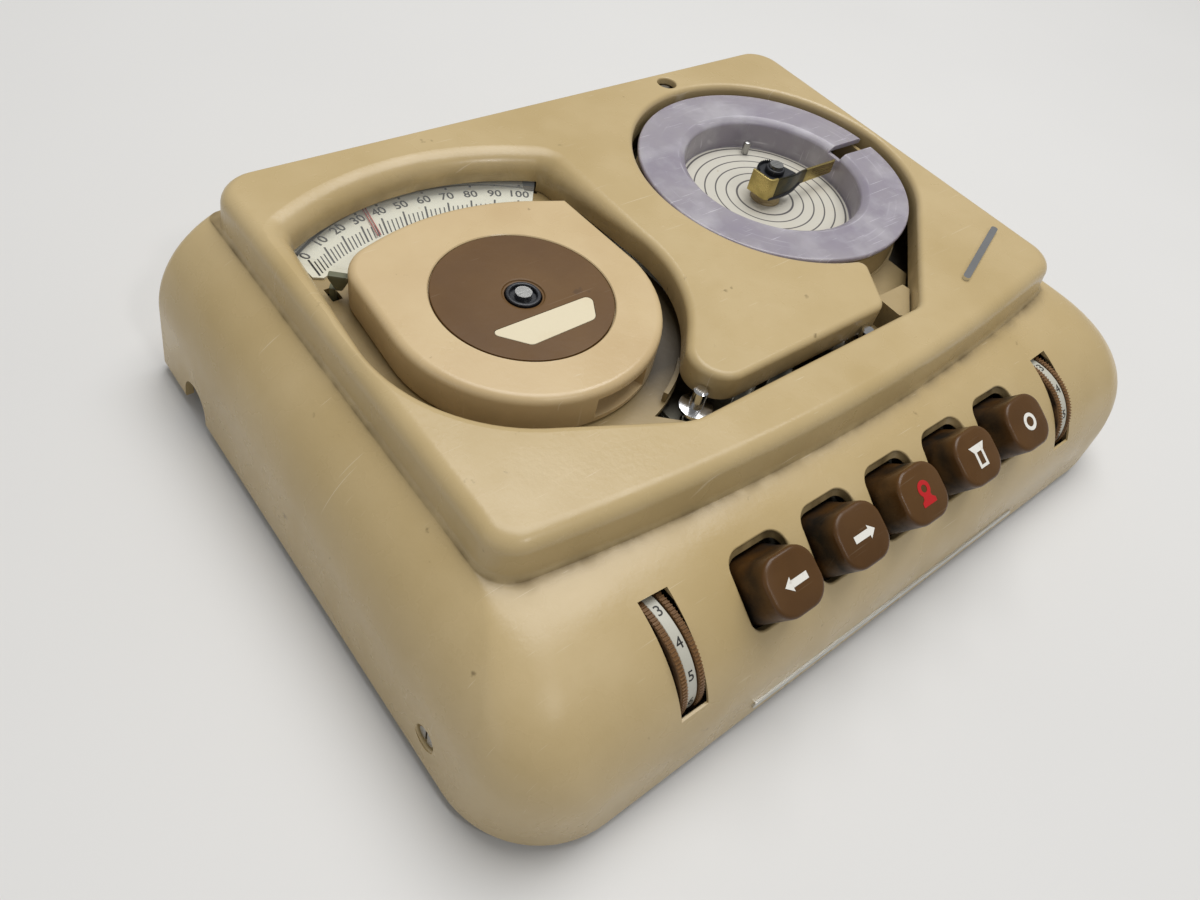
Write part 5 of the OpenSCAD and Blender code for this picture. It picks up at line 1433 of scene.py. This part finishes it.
@dataclass
class Keys:
    """Five push keys with their marks and return springs."""

    case: Case
    wide: float = 18.5
    tall: float = 18.0
    face_tall: float = 17.2
    out: float = 9.5
    low: float = -9.0
    stem_half: float = 3.5
    stem_low: float = -25.0
    lean: float = math.radians(63.0)
    tilt: float = math.radians(60.0)
    crown: tuple[Flat, ...] = ((0.0, -1.3), (0.12, -0.75), (0.4, -0.35), (0.9, -0.1), (1.5, 0.0), (3.5, 0.2),
                               (6.0, 0.34), (8.0, 0.38))

    def square(self, tall: float, inset: float, radius: float) -> Path:
        """Outline of the cap, moved in."""
        a, b = self.wide / 2 - inset, tall / 2 - inset
        r = min(max(0.2, radius - inset), a - 0.05, b - 0.05)
        return rounded([(-a, -b, r), (-a, b, r), (a, b, r), (a, -b, r)], 8, 0.0)

    def face_point(self, x: float, u: float, v: float, h: float) -> Point:
        """Point by the leaning face's own directions: across, up the face and out of it."""
        y, z = self.case.key_axis
        y += v * math.sin(self.tilt) - self.out * math.cos(self.lean) - h * math.cos(self.tilt)
        z += v * math.cos(self.tilt) + self.out * math.sin(self.lean) + h * math.sin(self.tilt)
        return (x + u, y, z)

    def cap(self, x: float) -> Mesh:
        """Cap that leans up from its hole to a crowned face with a rounded edge, on its stem."""
        root = [[self.case.key_point(x, u, v, w) for u, v in self.square(self.tall, d, 4.6)]
                for d, w in ((0.5, self.low), (0.0, self.low + 0.5), (0.0, -2.0))]
        face = [[self.face_point(x, u, v, h) for u, v in self.square(self.face_tall, d, 6.5)] for d, h in self.crown]
        side = [[tuple(Vector(p).lerp(Vector(q), t)) for p, q in zip(root[-1], face[0])] for t in (0.25, 0.5, 0.75)]
        half = self.stem_half
        stem = [(-half, -half), (-half, half), (half, half), (half, -half)]
        foot = [[self.case.key_point(x, u, v, w) for u, v in stem] for w in (self.stem_low, self.low + 0.4)]
        return Shape().loft(root + side + face).loft(foot).mesh("cap")

    def build(self) -> None:
        """Make the caps, marks and springs."""
        for icon in Icon:
            word, x = icon.name.lower(), KEY_PITCH * icon.value
            mesh = self.cap(x)
            self.shade_and_soil(mesh, x)
            piece("key_" + word, soften(mesh, 45), word + "_key", KEY_BROWN, ["button_" + word])
            finish = RED_INK if icon is Icon.RECORD else WHITE_INK
            piece("mark_" + word, self.mark(icon, x), word + "_key", finish)
            self.spring(word, x)

    def shade_and_soil(self, mesh: Mesh, x: float) -> None:
        """Painted shade on the sides, darker the deeper they go into the hole."""
        middle = Vector(self.face_point(x, 0, 0, 0))
        out = Vector(self.face_point(x, 0, 0, 1)) - middle
        store_dirt_and_shade(mesh, (((middle - vertex.co / MM).dot(out) - 0.6) / 4.0 for vertex in mesh.vertices))

    @staticmethod
    def outlines(icon: Icon) -> list[tuple[Path, Path | None]]:
        """Outlines of a key's mark, each with its hole where it has one."""
        arrow = [(-4.2, 0.0), (-1.7, 2.0), (-1.7, 1.0), (4.1, 1.0), (4.1, -1.0), (-1.7, -1.0), (-1.7, -2.0)]
        head = [arc(r, 0, 350, 35, (0.0, 1.3)) for r in (2.5, 1.15)]
        foot = [(-1.6, -0.4), (1.6, -0.4), (1.8, -1.5), (2.9, -2.3), (2.9, -3.6), (-2.9, -3.6), (-2.9, -2.3),
                (-1.8, -1.5)]
        horn = [(-2.1, -3.6), (2.1, -3.6), (2.1, 1.4), (3.7, 3.5), (-3.7, 3.5), (-2.1, 1.4)]
        hollow = [(-1.1, -2.7), (1.1, -2.7), (1.1, 1.0), (1.1, 1.3), (-1.1, 1.3), (-1.1, 1.0)]
        return {Icon.REWIND: [(arrow, None)], Icon.FORWARD: [([(-a, b) for a, b in arrow], None)],
                Icon.RECORD: [(head[0], head[1]), (foot, None)], Icon.PLAY: [(horn, hollow)],
                Icon.STOP: [(arc(2.85, 0, 350, 35), arc(1.65, 0, 350, 35))]}[icon]

    def mark(self, icon: Icon, x: float) -> Mesh:
        """The printed mark of a key, a little proud of its face."""
        shape = Shape()
        for outer, inner in self.outlines(icon):
            levels = []
            for path, heights in ((outer, (0.02, 0.1)), (inner, (0.1, 0.02))):
                for h in heights if path else ():
                    levels.append([self.face_point(x, u, v, self.face_height(u, v) + h) for u, v in path])
            shape.loft(levels, closed=inner is not None)
        return shape.mesh("mark")

    def face_height(self, u: float, v: float) -> float:
        """Height of the crowned face above its edge."""
        inset = min(self.wide / 2 - abs(u), self.face_tall / 2 - abs(v))
        for (a, low), (b, high) in zip(self.crown, self.crown[1:]):
            if inset <= b:
                return low + (high - low) * max(0.0, inset - a) / (b - a)
        return self.crown[-1][1]

    def spring(self, word: str, x: float) -> None:
        """Return spring round the stem, with a mesh of its own."""
        mesh = GROWER.coil(5, 5.9, 5.8, 1.1, STEEL)
        base, foot = (Vector(self.case.key_point(x, 0, 0, w)) * MM for w in (-15.4, -16))
        s = SLOPE
        axes = Matrix(((1, 0, 0), (0, s, -s), (0, s, s))).to_4x4()
        mesh.transform(Matrix.Translation(base) @ axes)
        made = piece("coil_" + word, soften(mesh, 60), Body.MACHINE, STEEL, ["spring_" + word])
        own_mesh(made)


@dataclass
class Thumbwheels:
    """Two knurled thumbwheels with white bands of figures."""

    case: Case
    radius: float = 20.0
    half: float = 4.0
    knurl: float = 0.45
    ridges: int = 116
    figure_tall: float = 3.1
    figure_step: float = 27.4
    shown: float = 61.0

    def build(self) -> None:
        """Make both wheels."""
        for side, body, name in ((-1, Body.VOLUME, "volume_wheel"), (1, Body.TONE, "tone_wheel")):
            self.wheel(side * self.case.wheel_x, body, name)

    def wheel(self, x: float, body: Body, name: str) -> None:
        """One wheel: core, ridges on both flanges, white band and its figures."""
        # Local Z is the axle and points along +X; local -X is up.
        turn = Matrix.Translation((x, *self.case.wheel_axis)) @ Matrix.Rotation(math.radians(90), 4, "Y")
        r, edge, h = self.radius - self.knurl, self.radius - 0.05, self.half
        core = [(2.05, -h), (r - 0.4, -h), (r, -3.7), (r, -1.95), (r - 0.9, -1.85), (r - 0.9, 1.65), (r - 1.5, 1.7),
                (r - 1.5, 2.0), (r - 0.1, 2.05), (r, 2.2), (r, 3.7), (r - 0.4, h), (2.05, h)]
        ridge = Shape()
        wide = math.pi * self.radius / self.ridges * 0.62
        slim = wide * 0.35
        for ends in ((-3.75, -2.0), (2.15, 3.75)):
            ridge.loft([raised([(r - 0.25, -wide), (edge, -slim), (edge, slim), (r - 0.25, wide)], z) for z in ends])
        knurl = GROWER.ring(ridge.mesh("ridge"), self.ridges, 0, 360 / self.ridges, WHEEL_BROWN)
        mesh = joined(Shape().lathe(core, 180).mesh("core"), knurl)
        # Painted shade: the side faces of both flanges turn dark.
        store_dirt_and_shade(mesh, (float(abs(vertex.co.z) > (h - 0.1) * MM) for vertex in mesh.vertices))
        mesh.transform(Matrix.Scale(MM, 4) @ turn @ Matrix.Scale(1 / MM, 4))
        piece(name + "_rim", soften(mesh, 30), body, WHEEL_BROWN, [name])
        band = [(r - 1.4, -1.75), (r - 0.35, -1.75), (r - 0.2, -1.6), (r - 0.2, 1.4), (r - 0.35, 1.55),
                (r - 1.4, 1.55)]
        mesh = Shape().lathe(band, 180).mesh("band", turn)
        piece(name + "_band", soften(mesh, 30), body, BAND_WHITE)
        self.figures(x, r - 0.2, body, name)

    def figures(self, x: float, radius: float, body: Body, name: str) -> None:
        """Figures 0 to 9 wrapped round the band, upright as the wheel turns, the 4 in sight."""
        y, z = self.case.wheel_axis
        meshes = []
        for number in range(10):
            mesh = figure(str(number), self.figure_tall)
            middle = self.shown + self.figure_step * (4 - number)
            for vertex in mesh.vertices:
                u, v, w = vertex.co
                angle, reach = math.radians(middle) + v / radius, radius + 0.03 + w
                across_x, deep, high = x - 0.1 + u, y - reach * math.cos(angle), z + reach * math.sin(angle)
                vertex.co = (across_x * MM, deep * MM, high * MM)
            meshes.append(mesh)
        piece(name + "_figures", joined(*meshes), body, BLACK_INK)


class Dressing:
    """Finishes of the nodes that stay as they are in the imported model."""

    FINISHES: dict[Finish, Sequence[str]] = {
        TRAY_TAN: ("cassette_tray", "reel_tray"),
        BROWN_SHEET: ("base_plate",),
        BLACK_RUBBER: ("rubber_feet", "drive_belt", "pinch_roller"),
        STEEL: ("foot_screws", "base_screws", "case_screws", "chassis_posts", "supply_spindle", "takeup_spindle"),
        SHEET_STEEL: ("chassis_plate", "head_bracket", "pinch_arm", "button_frame", "wheel_brackets"),
        SCALE_PAPER: ("scale_plate",),
        WINDOW_CLEAR: ("scale_window",),
        CHROME: ("tape_guides", "record_head", "erase_head", "deck_trim"),
        BRASS: ("supply_bearing", "takeup_bearing", "capstan_bearing", "motor_pulley"),
        IRON: ("flywheel", "motor", "transformer"),
        TAPE: ("tape_pack",),
        BOARD: ("circuit_board",),
        VALVE_GLASS: ("valves",),
        SOCKET_DARK: ("capacitors", "socket_panel"),
        ALUMINIUM: ("front_trim",),
    }

    def build(self) -> None:
        """Give every node that shows its finish."""
        for finish, names in self.FINISHES.items():
            for name in names:
                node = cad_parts[name]
                node.data.materials.clear()
                node.data.materials.append(finish.material())
                LOG.info("%s: %s", name, finish.name)


@dataclass
class Studio:
    """Camera at the photographed angle, pale floor and soft light. Lamps are in metres and watts."""

    spot: Point = (-196.0, -136.5, 239.0)
    right: Point = (0.7750, -0.6076, 0.1741)
    up: Point = (0.3839, 0.6714, 0.6338)
    back: Point = (-0.5020, -0.4243, 0.7536)
    lens: float = 27.3
    floor_half: float = 4000.0
    sky: str = "#fbfbfa"
    sky_strength: float = 0.31
    lamps: tuple[tuple[str, Point, Point, Flat, float], ...] = (
        ("key", (0.36, 0.22, 1.45), (0.0, 0.0, 0.05), (1.1, 1.1), 18.5),
        ("front", (0.0, -0.85, 1.05), (0.0, 0.0, 0.05), (0.13, 0.13), 1.7),
        ("left", (-1.2, -0.1, 0.35), (0.0, 0.0, 0.04), (0.8, 0.5), 0.6))

    def camera(self) -> None:
        """Set the camera."""
        data = bpy.data.cameras.new("camera")
        data.lens, data.sensor_width, data.sensor_fit = self.lens, 36.0, "HORIZONTAL"
        data.clip_start, data.clip_end = 0.01, 20.0
        made = stand("camera", data)
        axes = Matrix((self.right, self.up, self.back)).transposed().to_4x4()
        made.matrix_world = Matrix.Translation(Vector(self.spot) * MM) @ axes
        bpy.context.scene.camera = made

    @staticmethod
    def lamp(name: str, place: Point, aim: Point, size: Flat, power: float) -> None:
        """One soft rectangular lamp, placed and aimed in metres."""
        data = bpy.data.lights.new(name, "AREA")
        data.shape, data.size, data.size_y, data.energy = "RECTANGLE", size[0], size[1], power
        made = stand(name, data)
        made.location = place
        made.rotation_euler = (Vector(aim) - Vector(place)).to_track_quat("-Z", "Y").to_euler()

    def floor(self) -> None:
        """Plain pale floor, a little cloudy, that takes the shadow."""
        far = self.floor_half
        mesh = Shape().prism([(-far, -far), (-far, far), (far, far), (far, -far)], -20.0, 0.0).mesh("floor")
        mesh.materials.append(FLOOR_WHITE.material())
        stand("floor", mesh)

    def build(self) -> None:
        """Set the camera, floor, world and lamps."""
        scene = bpy.context.scene
        scene.view_settings.view_transform = "Standard"
        self.camera()
        self.floor()
        scene.world = bpy.data.worlds.new("studio")
        scene.world.use_nodes = True
        tree = scene.world.node_tree
        feed(tree, tree.nodes["Background"], {"Color": linear(self.sky), "Strength": self.sky_strength})
        for lamp in self.lamps:
            self.lamp(*lamp)


def main() -> None:
    """Build every sub-assembly."""
    logging.basicConfig(level=logging.INFO, format="%(name)s %(message)s")
    case = Case()
    for unit in (Studio(), case, ScaleUnit(), Cassette(), Lever(), TakeupReel(), Keys(case), Thumbwheels(case),
                 Dressing()):
        LOG.info("building %s", type(unit).__name__)
        unit.build()


if __name__ == "__main__":
    main()
